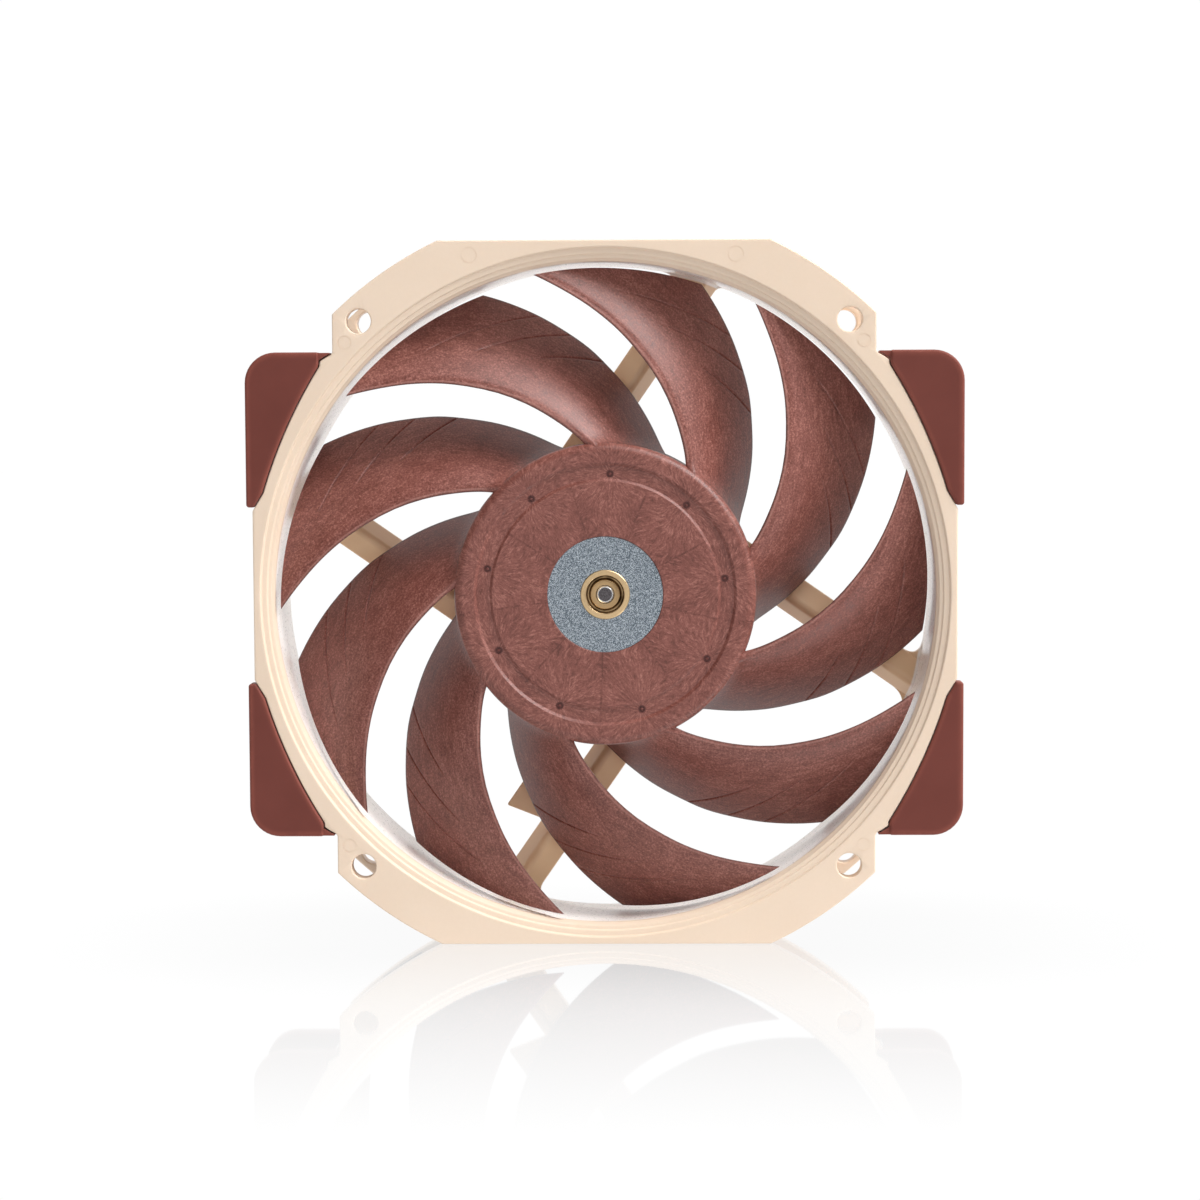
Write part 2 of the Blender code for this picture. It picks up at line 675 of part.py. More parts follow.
def stator_outline(ring_r, arm, shoe_in, shoe_out, spread):
    """Salient poles on a ring.

    arm is half an arm's width; a shoe lies between two radii and spans spread degrees
    to either side of its arm.
    """
    pitch = 360 / POLES
    ring_start = math.sqrt(ring_r**2 - arm**2)
    neck = math.sqrt(shoe_in**2 - arm**2)
    shoe_start = math.degrees(math.asin(arm / shoe_in)) + 4
    ring_edge = math.degrees(math.asin(arm / ring_r)) + 8
    pole = (
        [(ring_start, -arm), (neck, -arm)]
        + arc(shoe_in, -shoe_start, -spread, 2)
        + arc(shoe_out, -spread, spread, 7)
        + arc(shoe_in, spread, shoe_start, 2)
        + [(neck, arm), (ring_start, arm)]
        + arc(ring_r, ring_edge, pitch - ring_edge, 2)
    )
    return [turn_point(point, pitch * k) for k in range(POLES) for point in pole]


core_outline = stator_outline(ring_r=8.2, arm=2.4, shoe_in=17.6, shoe_out=19.9, spread=38)
bobbin_outline = stator_outline(ring_r=8.0, arm=2.2, shoe_in=17.2, shoe_out=18.6, spread=34)
shade(plate("stator_core", [core_outline, circle(4.6, 18)], 8.0, 15.0, LAMINATION))
for name, near, far in (("bobbin_front", 6.9, 7.7), ("bobbin_rear", 15.3, 16.1)):
    shade(plate(name, [bobbin_outline, circle(4.7, 18)], near, far, NYLON))

COIL_LENGTH = 7.0  # along the arm
COIL_R = 12.9  # distance of its centre from the rotor axis
COIL_DEPTH = 11.5


def coil(k):
    """A winding round one pole: a rounded rectangular tube about the arm."""
    loops = [rounded_rectangle(4.6, 6.7, 1.8), rounded_rectangle(2.75, 4.95, 0.5)]
    winding = plate(f"coil_{k}", loops, 0, COIL_LENGTH, COPPER)
    # its hole runs along the arm: own Z to the radius, own Y to the rotor axis
    radial = direction(360 / POLES * (k - 1))
    centre = radial * COIL_R * MM + Vector((0, 0, z_of(COIL_DEPTH)))
    winding.matrix_local = axes_matrix((UP.cross(radial), UP, radial), centre)
    shade(winding)


for k in range(1, POLES + 1):
    coil(k)

# ---- circuit board and label --------------------------------------------------------------
shade(plate("circuit_board", [circle(23.4, 36), circle(6.9, 18)], 20.9, 21.9, PCB_MASK))

COMPONENTS = [  # name, (x, y, depth) of the centre, size, material
    ("driver_chip", (12.5, 12.0, 20.0), (5.0, 4.0, 1.2), CHIP),
    ("hall_sensor", (0.0, 19.6, 19.6), (4.0, 1.6, 2.0), CHIP),
    ("filter_capacitor", (-12.6, 12.4, 20.1), (3.2, 2.5, 1.0), CAN),
]
for name, centre, size, mat in COMPONENTS:
    component = box(name, plan_point(*centre), size, mat=mat)
    bevel = component.modifiers.new("edge", "BEVEL")
    bevel.width = 0.15 * MM
    bevel.segments = 1

ring("rear_label", 0, 20.0, 24.4, 24.6, steps=36, mat=LABEL)

# ---- connector, in the open space between the flanges, outside the tunnel -----------------
PLUG_ANGLE, PLUG_R, PLUG_DEPTH = -123.0, 61.9, 12.6
PIN_PITCH = 2.54
LANES = [(i - 1.5) * PIN_PITCH for i in range(4)]  # places of the four ways along local Z
plug_out = direction(PLUG_ANGLE)
plug_along = UP.cross(plug_out)  # towards the cable's end
plug_centre = polar(PLUG_R, PLUG_ANGLE, PLUG_DEPTH)


def plug_point(lane, along=0.0, out=0.0):
    return plug_centre + UP * lane * MM + plug_along * along * MM + plug_out * out * MM


def plug_box(name, centre, size, cutter=False):
    """A block in the connector's axes; size is (along, local Z, out)."""
    return box(name, centre, size, (plug_along, UP, plug_out), cutter=cutter)


plug_housing = plug_box("plug_housing", plug_centre, (12.4, 10.2, 5.4))
for i, lane in enumerate(LANES):
    cavity = plug_box(f"cavity_{i}", plug_point(lane), (14.0, 1.7, 1.9), cutter=True)
    boolean(plug_housing, cavity, "DIFFERENCE")
for letter, lane in (("a", -3.7), ("b", -0.2)):
    rib_centre = plug_point(lane, along=-1.0, out=2.9)
    rib = plug_box(f"rib_{letter}", rib_centre, (8.0, 0.9, 1.2), cutter=True)
    boolean(plug_housing, rib, "UNION")
finish(plug_housing, BLACK)

for i, lane in enumerate(LANES):
    terminal = plug_box(f"terminal_{i + 1}", plug_point(lane, along=-1.6), (8.6, 1.05, 1.25))
    mouth = plug_box(f"mouth_{i}", plug_point(lane, along=-5.0), (6.0, 0.7, 0.7), cutter=True)
    boolean(terminal, mouth, "DIFFERENCE")
    finish(terminal, TIN)

# ---- lead ---------------------------------------------------------------------------------
# Four wires from the board's edge, through the sleeve behind the strut, out by the notch and
# round to the connector. They lie side by side, then two by two inside the sleeve.
WIRE_R = 0.34
SLEEVE_R, SLEEVE_BORE_R = 1.25, 1.08
PAIR_OFFSET = 0.38  # from the lead's centre line to a wire, both ways, when two by two
LEAD = [  # place in local metres, pitch side by side, 0 side by side to 1 two by two
    (on_cable_strut(15.9, 13.6, 22.6), 0.95, 0.0),
    (on_cable_strut(16.7, 16.2, 22.65), 0.9, 0.0),
    (on_cable_strut(17.4, 19.0, 22.9), 0.85, 0.0),
    (on_cable_strut(17.5, 23.0, 23.2), 0.82, 0.0),
    (on_cable_strut(SLEEVE_LINE, 29.0, 23.3), 0.8, 0.4),
    (on_cable_strut(SLEEVE_LINE, 36.0, 23.3), 0.5, 1.0),
    (on_cable_strut(SLEEVE_LINE, 39.0, 23.3), 0.38, 1.0),
    (on_cable_strut(SLEEVE_LINE, 45.0, 23.3), 0.38, 1.0),
    (on_cable_strut(SLEEVE_LINE, 52.0, 23.3), 0.38, 1.0),
    (on_cable_strut(SLEEVE_LINE, 56.6, 22.5), 0.38, 1.0),
    (on_cable_strut(SLEEVE_LINE - 0.2, 58.4, 19.6), 0.38, 1.0),
    (polar(60.4, -109.2, 16.0), 0.38, 1.0),
    (polar(61.0, -111.4, 13.6), 0.38, 1.0),
    (polar(61.2, -113.6, 12.9), 0.38, 1.0),
]
SLEEVE_FIRST, SLEEVE_LAST = 6, 13  # rows of LEAD; the sleeve stops one step before the last
STEPS_PER_SPAN = 2
WIRE_ENTRY = [7.6, 6.2, 3.1]  # each wire's last points, along from the connector's centre


def smooth_path(points, steps):
    """A Catmull-Rom run through the points."""
    before = points[0] + (points[0] - points[1])
    after = points[-1] + (points[-1] - points[-2])
    padded = [before] + points + [after]
    run = []
    for i in range(1, len(padded) - 2):
        p0, p1, p2, p3 = padded[i - 1 : i + 3]
        for j in range(steps):
            t = j / steps
            linear = (p2 - p0) * t
            square = (2 * p0 - 5 * p1 + 4 * p2 - p3) * t * t
            cube = (3 * p1 - p0 - 3 * p2 + p3) * t**3
            run.append(0.5 * (2 * p1 + linear + square + cube))
    run.append(points[-1])
    return run


def blended(index, column):
    """A column of LEAD at a point of the smooth run."""
    row, part = divmod(index, STEPS_PER_SPAN)
    value = LEAD[row][column]
    if part == 0:
        return value
    return value + (LEAD[row + 1][column] - value) * part / STEPS_PER_SPAN


def wire_runs(centre):
    """The four wires' paths about the lead's centre line."""
    runs = [[] for _ in range(4)]
    sideways = UP.cross((centre[1] - centre[0]).normalized())
    for i, point in enumerate(centre):
        ahead = (centre[min(i + 1, len(centre) - 1)] - centre[max(i - 1, 0)]).normalized()
        sideways = (sideways - ahead * sideways.dot(ahead)).normalized()
        over = ahead.cross(sideways)
        pitch, paired = blended(i, 1), blended(i, 2)
        # first every other wire lifts, then the wires close up sideways
        lifted = min(1.0, paired * 2)
        closed = max(0.0, paired * 2 - 1)
        for wire, run in enumerate(runs):
            lift = PAIR_OFFSET * (-1 if wire % 2 == 0 else 1) * lifted
            flat = (wire - 1.5) * pitch
            pair = PAIR_OFFSET * (-1 if wire < 2 else 1)
            shift = flat + (pair - flat) * closed
            run.append(point + sideways * shift * MM + over * lift * MM)
    return runs


lead_centre = smooth_path([row[0] for row in LEAD], STEPS_PER_SPAN)

# Sleeve: a rod bored by a thinner one that runs past both its ends.
sleeve_run = lead_centre[SLEEVE_FIRST * STEPS_PER_SPAN : SLEEVE_LAST * STEPS_PER_SPAN]
cable_sleeve = rod("cable_sleeve", sleeve_run, SLEEVE_R, SLEEVING, sides=10)
first, last = sleeve_run[0], sleeve_run[-1]
lumen_run = (
    [first + (first - sleeve_run[1]) * 0.5]
    + sleeve_run
    + [last + (last - sleeve_run[-2]) * 0.5]
)
lumen = rod("sleeve_lumen", lumen_run, SLEEVE_BORE_R, SLEEVING, sides=10, cutter=True)
boolean(cable_sleeve, lumen, "DIFFERENCE")
finish(cable_sleeve, SLEEVING)

# The wires enter the connector in the order of their height along local Z.
ordered_runs = sorted(wire_runs(lead_centre), key=lambda run: run[-1].z)
for i, (run, lane, colour) in enumerate(zip(ordered_runs, LANES, WIRE_COLOURS)):
    entry = [plug_point(lane, along=along) for along in WIRE_ENTRY]
    rod(f"wire_{i + 1}", run + entry, WIRE_R, colour, sides=6)
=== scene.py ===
"""The looks of a 120 mm case fan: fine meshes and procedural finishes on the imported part.

In the world the fan stands upright. Its axis is Y, the intake face looks towards -Y and +Z is up.
Pieces are drawn in a plan view seen from the intake side, x right and y up, with their depth
counted back from the intake face. Plan sizes and depths are in millimetres.
"""

import math

import bmesh
import bpy
from mathutils import Matrix, Vector

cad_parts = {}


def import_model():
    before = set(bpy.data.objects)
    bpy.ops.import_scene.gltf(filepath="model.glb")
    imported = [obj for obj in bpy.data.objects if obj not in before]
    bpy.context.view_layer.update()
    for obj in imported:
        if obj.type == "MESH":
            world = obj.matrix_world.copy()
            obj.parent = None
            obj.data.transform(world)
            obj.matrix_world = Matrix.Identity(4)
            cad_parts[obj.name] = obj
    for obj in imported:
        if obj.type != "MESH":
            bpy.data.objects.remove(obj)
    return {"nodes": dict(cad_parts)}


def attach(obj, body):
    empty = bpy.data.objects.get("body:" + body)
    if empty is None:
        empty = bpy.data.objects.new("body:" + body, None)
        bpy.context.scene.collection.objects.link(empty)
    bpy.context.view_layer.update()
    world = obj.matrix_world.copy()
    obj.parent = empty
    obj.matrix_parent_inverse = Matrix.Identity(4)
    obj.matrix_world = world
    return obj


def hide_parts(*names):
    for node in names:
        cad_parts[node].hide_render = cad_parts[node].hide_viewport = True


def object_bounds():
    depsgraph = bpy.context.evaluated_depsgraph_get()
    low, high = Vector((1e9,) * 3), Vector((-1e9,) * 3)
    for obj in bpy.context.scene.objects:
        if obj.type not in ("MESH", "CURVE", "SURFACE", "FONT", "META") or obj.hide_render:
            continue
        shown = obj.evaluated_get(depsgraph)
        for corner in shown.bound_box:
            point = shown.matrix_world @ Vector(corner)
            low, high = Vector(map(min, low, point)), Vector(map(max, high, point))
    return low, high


MM = 0.001
DEPTH = 25.0  # intake face to exhaust face
HALF_DEPTH = DEPTH / 2 * MM
ROTOR, STATOR = "rotor", "stator"
TO_WORLD = Matrix.Rotation(math.radians(90), 4, "X")  # plan view (x, y, towards intake) to world
UP = Vector((0, 0, 1))
WHITE = (1, 1, 1, 1)

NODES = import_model()["nodes"]
cad_lo, cad_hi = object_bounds()
scene = bpy.context.scene

# the four corners in plan view, as the signs of x and y
CORNERS = {
    "upper_right": (1, 1),
    "upper_left": (-1, 1),
    "lower_left": (-1, -1),
    "lower_right": (1, -1),
}

# frame
HALF = 60.0  # half the width across the flats
TUNNEL_R = 56.3
FLANGE = 4.0
EAR_X = 46.1  # where the round ear of a corner begins
FRONT_EAR_R, REAR_EAR_R = 66.3, 65.5
SEAT_ENDS = ((58.1, 17.5), (53.3, 29.9), (48.5, 38.6))  # start, middle and end of a pad's seat
SEAT_STEPS = 28

# corner pads: half width, half height and corner radius of the rectangle they complete
PAD_X, PAD_Y, PAD_R = 61.05, 41.3, 5.2

# impeller
BLADES = 9
PITCH = 360 / BLADES
BLADE_TURN = 0.35  # degrees clockwise from the places in BLADE_EDGES
HUB_FACE = 0.7  # depth
GATE_ANGLE = 7.5  # degrees, of the first gate pit in the hub face
GATE_R = 20.55
ROOT_R, TIP_R = 24.9, 55.5
# radius, then the angle of the leading and of the trailing edge, in degrees
BLADE_EDGES = [
    (ROOT_R, 16.4, -14.4),
    (27.3, 20.4, -9.2),
    (31.1, 26.7, -2.4),
    (35.0, 32.6, 3.9),
    (38.5, 37.8, 9.3),
    (42.0, 43.1, 14.1),
    (45.5, 48.2, 19.2),
    (49.0, 53.4, 24.0),
    (52.5, 58.6, 28.8),
    (TIP_R, 62.8, 32.9),
]
LEADING, TRAILING = 1, 2  # columns of BLADE_EDGES


# ------------------------------------------------------------------ plan outlines
def zd(depth):
    """Height in the plan view, in metres, of a depth."""
    return (DEPTH / 2 - depth) * MM


def with_radius(points, radius):
    return [(x, y, radius) for x, y in points]


def round_corners(corners, steps=4, least=12):
    """A closed polygon of (x, y, radius) with each corner that turns least degrees rounded."""
    loop = []
    for i, (x, y, radius) in enumerate(corners):
        corner = Vector((x, y))
        back = Vector(corners[i - 1][:2]) - corner
        ahead = Vector(corners[(i + 1) % len(corners)][:2]) - corner
        back_length, ahead_length = back.length, ahead.length
        back, ahead = back / back_length, ahead / ahead_length
        turn = math.pi - math.acos(max(-1, min(1, back.dot(ahead))))
        if radius <= 0 or math.degrees(turn) < least:
            loop.append((corner.x, corner.y))
            continue
        half = (math.pi - turn) / 2
        cut = min(radius / math.tan(half), back_length * 0.48, ahead_length * 0.48)
        fitted = cut * math.tan(half)
        centre = corner + (back + ahead).normalized() * (fitted / math.sin(half))
        start = corner + back * cut - centre
        end = corner + ahead * cut - centre
        first = math.atan2(start.y, start.x)
        sweep = (math.atan2(end.y, end.x) - first + math.pi) % math.tau - math.pi
        for k in range(steps + 1):
            angle = first + sweep * k / steps
            loop.append((centre.x + fitted * math.cos(angle), centre.y + fitted * math.sin(angle)))
    return loop


def signed_area(loop):
    """Positive for a loop that runs anticlockwise."""
    return sum(p[0] * q[1] - q[0] * p[1] for p, q in zip(loop, loop[1:] + loop[:1])) / 2


def inset(loop, amount):
    """The loop moved to its left: into the material of an outline that runs anticlockwise."""
    if amount <= 0:
        return loop
    moved = []
    for i, point in enumerate(loop):
        here = Vector(point)
        edge_in = (here - Vector(loop[i - 1])).normalized()
        edge_out = (Vector(loop[(i + 1) % len(loop)]) - here).normalized()
        normal_in = Vector((-edge_in.y, edge_in.x))
        normal_out = Vector((-edge_out.y, edge_out.x))
        mitre = (normal_in + normal_out).normalized()
        reach = amount / max(0.5, mitre.dot(normal_in))
        moved.append((here.x + mitre.x * reach, here.y + mitre.y * reach))
    return moved


def circle(radius, steps, cx, cy):
    angles = [math.tau * i / steps for i in range(steps)]
    return [(cx + radius * math.cos(a), cy + radius * math.sin(a)) for a in angles]


def arc(radius, start, end, steps, cx=0.0, cy=0.0):
    """Points from the start angle to the end angle, in degrees."""
    angles = [math.radians(start + (end - start) * i / steps) for i in range(steps + 1)]
    return [(cx + radius * math.cos(a), cy + radius * math.sin(a)) for a in angles]


def circle_through(p1, p2, p3):
    """Centre and radius."""
    (ax, ay), (bx, by), (cx, cy) = p1, p2, p3
    d = 2 * (ax * (by - cy) + bx * (cy - ay) + cx * (ay - by))
    a2, b2, c2 = ax**2 + ay**2, bx**2 + by**2, cx**2 + cy**2
    x = (a2 * (by - cy) + b2 * (cy - ay) + c2 * (ay - by)) / d
    y = (a2 * (cx - bx) + b2 * (ax - cx) + c2 * (bx - ax)) / d
    return (x, y), math.dist((x, y), p1)


def four_ways(quadrant):
    """A loop from its upper right quarter, which starts on the x axis."""
    top = quadrant + [(-x, y) for x, y in reversed(quadrant)]
    return top + [(-x, -y) for x, y in top[1:-1]]


def in_corner(points, signs):
    return [(signs[0] * x, signs[1] * y) for x, y in points]


def depths(near, far, front):
    """A span of depths on the front side, or the same span counted from the exhaust face."""
    return (near, far) if front else (DEPTH - far, DEPTH - near)


SEAT_C, SEAT_RADIUS = circle_through(*SEAT_ENDS)


def seat_arc():
    start, end = [
        math.degrees(math.atan2(y - SEAT_C[1], x - SEAT_C[0]))
        for x, y in (SEAT_ENDS[0], SEAT_ENDS[-1])
    ]
    return arc(SEAT_RADIUS, start, end, SEAT_STEPS, *SEAT_C)


SEAT = seat_arc()


# ------------------------------------------------------------------ solids
def new_object(name, bm):
    bmesh.ops.recalc_face_normals(bm, faces=bm.faces)
    mesh = bpy.data.meshes.new(name)
    bm.to_mesh(mesh)
    bm.free()
    obj = bpy.data.objects.new(name, mesh)
    scene.collection.objects.link(obj)
    return obj


def bridge(bm, first, second):
    """Quads between two closed rings of as many vertices."""
    count = len(first)
    for i in range(count):
        j = (i + 1) % count
        bm.faces.new((first[i], first[j], second[j], second[i]))


def lathe(name, profile, steps):
    """A turned solid from a closed (radius, depth) profile, solid where it touches the axis."""
    bm = bmesh.new()
    rings = []
    for radius, depth in profile:
        if radius < 1e-6:
            rings.append([bm.verts.new((0, 0, zd(depth)))])
            continue
        ring = []
        for k in range(steps):
            angle = math.tau * k / steps
            x, y = radius * math.cos(angle) * MM, radius * math.sin(angle) * MM
            ring.append(bm.verts.new((x, y, zd(depth))))
        rings.append(ring)
    for a, b in zip(rings, rings[1:] + rings[:1]):
        if len(a) > 1 and len(b) > 1:
            bridge(bm, a, b)
        elif len(a) > 1 or len(b) > 1:
            for k in range(steps):
                j = (k + 1) % steps
                bm.faces.new((a[0], b[k], b[j]) if len(a) == 1 else (a[k], a[j], b[0]))
    return new_object(name, bm)


def plate(name, loops, near, far, bevel=0.0, segments=3):
    """A flat piece between two depths with rounded edges. The first loop is the outline."""
    bm = bmesh.new()
    levels = []  # (inset, depth)
    if bevel:
        for j in range(segments + 1):
            angle = math.pi / 2 * j / segments
            levels.append((bevel * (1 - math.sin(angle)), near + bevel * (1 - math.cos(angle))))
        levels += [(amount, far - (depth - near)) for amount, depth in reversed(levels)]
    else:
        levels = [(0, near), (0, far)]
    caps = ([], [])
    for k, loop in enumerate(loops):
        if (signed_area(loop) > 0) != (k == 0):
            loop = list(reversed(loop))
        rings = [
            [bm.verts.new((x * MM, y * MM, zd(depth))) for x, y in inset(loop, amount)]
            for amount, depth in levels
        ]
        for a, b in zip(rings, rings[1:]):
            bridge(bm, a, b)
        for cap, ring in zip(caps, (rings[0], rings[-1])):
            cap += [bm.edges.get((a, b)) for a, b in zip(ring, ring[1:] + ring[:1])]
    for cap in caps:
        bmesh.ops.triangle_fill(bm, use_beauty=True, use_dissolve=False, edges=cap)
    return new_object(name, bm)


def box(name, centre, axes, size):
    bm = bmesh.new()
    bmesh.ops.create_cube(bm, size=1.0)
    matrix = Matrix.Identity(4)
    for i, (axis, length) in enumerate(zip(axes, size)):
        for row in range(3):
            matrix[row][i] = axis[row] * length * MM
    matrix.translation = centre
    bmesh.ops.transform(bm, matrix=matrix, verts=bm.verts)
    return new_object(name, bm)


def combine(obj, others, operation):
    """Union with, or difference by, each of the others, which are then removed."""
    name = obj.name
    for other in others:
        boolean = obj.modifiers.new("boolean", "BOOLEAN")
        boolean.operation = operation
        boolean.solver = "MANIFOLD"
        boolean.object = other
    bpy.context.view_layer.update()
    depsgraph = bpy.context.evaluated_depsgraph_get()
    mesh = bpy.data.meshes.new_from_object(obj.evaluated_get(depsgraph))
    bm = bmesh.new()
    bm.from_mesh(mesh)
    bmesh.ops.remove_doubles(bm, verts=bm.verts, dist=2e-7)
    bmesh.ops.dissolve_degenerate(bm, edges=bm.edges, dist=1e-7)
    bm.to_mesh(mesh)
    bm.free()
    made = bpy.data.objects.new("made", mesh)
    scene.collection.objects.link(made)
    for used in (obj, *others):
        bpy.data.objects.remove(used, do_unlink=True)
    made.name = name
    return made


def show(obj, body, replaces, finish, smooth=32):
    """Turns a plan-view mesh upright, gives it its finish, attaches it to its body and hides the CAD
    node it replaces.
    """
    obj.data.transform(TO_WORLD)
    obj.data.materials.clear()
    obj.data.materials.append(finish)
    for polygon in obj.data.polygons:
        polygon.material_index = 0
    obj.data.shade_smooth()
    obj.data.set_sharp_from_angle(angle=math.radians(smooth))
    normals = obj.modifiers.new("normals", "WEIGHTED_NORMAL")
    normals.keep_sharp = True
    normals.weight = 60
    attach(obj, body)
    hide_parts(replaces)


# ------------------------------------------------------------------ blade edges
def edge_angle(radius, column):
    """Smooth interpolation of a column of BLADE_EDGES, in degrees."""
    rows = BLADE_EDGES
    last = len(rows) - 1
    for i in range(last):
        if radius <= rows[i + 1][0] + 1e-9:
            break

    def slope(k):
        a, b = max(k - 1, 0), min(k + 1, last)
        return (rows[b][column] - rows[a][column]) / (rows[b][0] - rows[a][0])

    y0, y1 = rows[i][column], rows[i + 1][column]
    step = rows[i + 1][0] - rows[i][0]
    t = (radius - rows[i][0]) / step
    m0, m1 = slope(i) * step, slope(i + 1) * step
    return (
        (2 * t**3 - 3 * t**2 + 1) * y0
        + (t**3 - 2 * t**2 + t) * m0
        + (-2 * t**3 + 3 * t**2) * y1
        + (t**3 - t**2) * m1
    )


# ------------------------------------------------------------------ shader graphs
class Value:
    """An output socket. Arithmetic on it adds Math nodes to its graph."""

    def __init__(self, graph, socket):
        self.graph = graph
        self.socket = socket

    def calc(self, operation, *operands):
        """A Math node. Inputs the operation doesn't read are set to 0."""
        return self.graph.math(operation, *(operands + (0.0, 0.0))[:3])

    def __add__(self, other):
        return self.calc("ADD", self, other)

    def __sub__(self, other):
        return self.calc("SUBTRACT", self, other)

    def __rsub__(self, other):
        return self.calc("SUBTRACT", other, self)

    def __mul__(self, other):
        return self.calc("MULTIPLY", self, other)

    def __truediv__(self, other):
        return self.calc("DIVIDE", self, other)

    def __mod__(self, other):
        return self.calc("MODULO", self, other)

    def __pow__(self, other):
        return self.calc("POWER", self, other)

    def __abs__(self):
        return self.calc("ABSOLUTE", self)

    def sqrt(self):
        return self.calc("SQRT", self)

    def floor(self):
        return self.calc("FLOOR", self)

    def sine(self):
        return self.calc("SINE", self)

    def cosine(self):
        return self.calc("COSINE", self)

    def arctan2(self, other):
        return self.calc("ARCTAN2", self, other)

    def larger(self, other):
        return self.calc("MAXIMUM", self, other)

    def smaller(self, other):
        return self.calc("MINIMUM", self, other)

    def times_plus(self, factor, addend):
        return self.calc("MULTIPLY_ADD", self, factor, addend)

    def span(self, start, end, to=(0.0, 1.0), smooth=True):
        """Maps start..end onto the two values of to, and holds them beyond."""
        kind = "SMOOTHSTEP" if smooth else "LINEAR"
        values = (self, start, end, *to)
        return self.graph.value("MapRange", *values, interpolation_type=kind, clamp=True)


def distance(a, b):
    return (a**2 + b**2).sqrt()


class Graph:
    """Short names for building a node tree."""

    def __init__(self, tree):
        self.tree = tree

    def put(self, socket, value):
        if isinstance(value, Value):
            self.tree.links.new(value.socket, socket)
        else:
            socket.default_value = value

    def fill(self, node, inputs):
        """Sets or links inputs by their names."""
        for name, value in inputs.items():
            self.put(node.inputs[name], value)

    def node(self, kind, *values, **settings):
        """A new node whose first inputs take the values."""
        node = self.tree.nodes.new("ShaderNode" + kind)
        for name, setting in settings.items():
            setattr(node, name, setting)
        for socket, value in zip(node.inputs, values):
            self.put(socket, value)
        return node

    def outputs(self, node, *keys):
        return [Value(self, node.outputs[key]) for key in keys]

    def value(self, kind, *values, output=0, **settings):
        """One output of a new node."""
        return self.outputs(self.node(kind, *values, **settings), output)[0]

    def axes(self, vector):
        return self.outputs(self.node("SeparateXYZ", vector), 0, 1, 2)

    def math(self, operation, *operands):
        return self.value("Math", *operands, operation=operation)

    def blend(self, factor, a, b):
        """A float from a to b."""
        node = self.node("Mix", factor, data_type="FLOAT")
        self.put(node.inputs[2], a)
        self.put(node.inputs[3], b)
        return Value(self, node.outputs[0])


PRINCIPLED = {
    "color": "Base Color",
    "rough": "Roughness",
    "metal": "Metallic",
    "normal": "Normal",
    "spec": "Specular IOR Level",
    "coat": "Coat Weight",
    "coat_rough": "Coat Roughness",
    "sheen": "Sheen Weight",
    "sheen_rough": "Sheen Roughness",
    "sss": "Subsurface Weight",
    "sss_radius": "Subsurface Radius",
    "sss_scale": "Subsurface Scale",
}


class Finish(Graph):
    """A principled material whose pattern is placed in object millimetres."""

    def __init__(self, name):
        self.material = bpy.data.materials.new(name)
        self.material.use_nodes = True
        super().__init__(self.material.node_tree)
        coords = self.value("TexCoord", output="Object")
        self.mm = self.value("VectorMath", coords, (1000, 1000, 1000), operation="MULTIPLY")

    def position(self):
        return self.axes(self.mm)

    def xyz(self, x, y, z):
        return self.value("CombineXYZ", x, y, z)

    def noise(self, scale, detail=3.0, rough=0.55, at=None):
        node = self.node("TexNoise")
        vector = at or self.mm
        inputs = {"Vector": vector, "Scale": scale, "Detail": detail, "Roughness": rough}
        self.fill(node, inputs)
        return Value(self, node.outputs["Fac"])

    def cells(self, scale, output):
        node = self.node("TexVoronoi")
        self.fill(node, {"Vector": self.mm, "Scale": scale})
        return Value(self, node.outputs[output])

    def ramp(self, factor, *stops):
        """Colours at positions between 0 and 1."""
        node = self.node("ValToRGB", factor)
        elements = node.color_ramp.elements
        while len(elements) < len(stops):
            elements.new(0.5)
        for element, (position, color) in zip(elements, stops):
            element.position = position
            element.color = (*color, 1)
        return Value(self, node.outputs[0])

    def table(self, factor, values):
        """Evenly spaced values, read by a factor between 0 and 1."""
        node = self.node("ValToRGB", factor)
        elements = node.color_ramp.elements
        last = len(values) - 1
        for i, v in enumerate(values):
            if i == 0:
                element = elements[0]
            elif i == last:
                element = elements[len(elements) - 1]
            else:
                element = elements.new(i / last)
            element.color = (v, v, v, 1)
        return Value(self, node.outputs[0])

    def mix(self, factor, a, b):
        """A colour from a to b."""
        node = self.node("Mix", factor, data_type="RGBA", blend_type="MIX")
        for socket, color in ((node.inputs[6], a), (node.inputs[7], b)):
            self.put(socket, (*color, 1) if isinstance(color, tuple) else color)
        return Value(self, node.outputs[2])

    def facing(self, blend):
        """Near 1 where the surface turns away from the eye."""
        return self.value("LayerWeight", blend, output="Facing")

    def bump(self, height, strength, mm):
        node = self.node("Bump")
        self.fill(node, {"Height": height, "Strength": strength, "Distance": mm * MM})
        return Value(self, node.outputs[0])

    def done(self, **inputs):
        """The material, with the inputs of its principled shader set."""
        named = {PRINCIPLED[key]: value for key, value in inputs.items()}
        self.fill(self.tree.nodes["Principled BSDF"], named)
        return self.material


# ------------------------------------------------------------------ finishes
def varied(rgb, spread):
    """The colour made darker and lighter by a fraction of itself."""
    return [tuple(c * factor for c in rgb) for factor in (1 - spread, 1 + spread)]


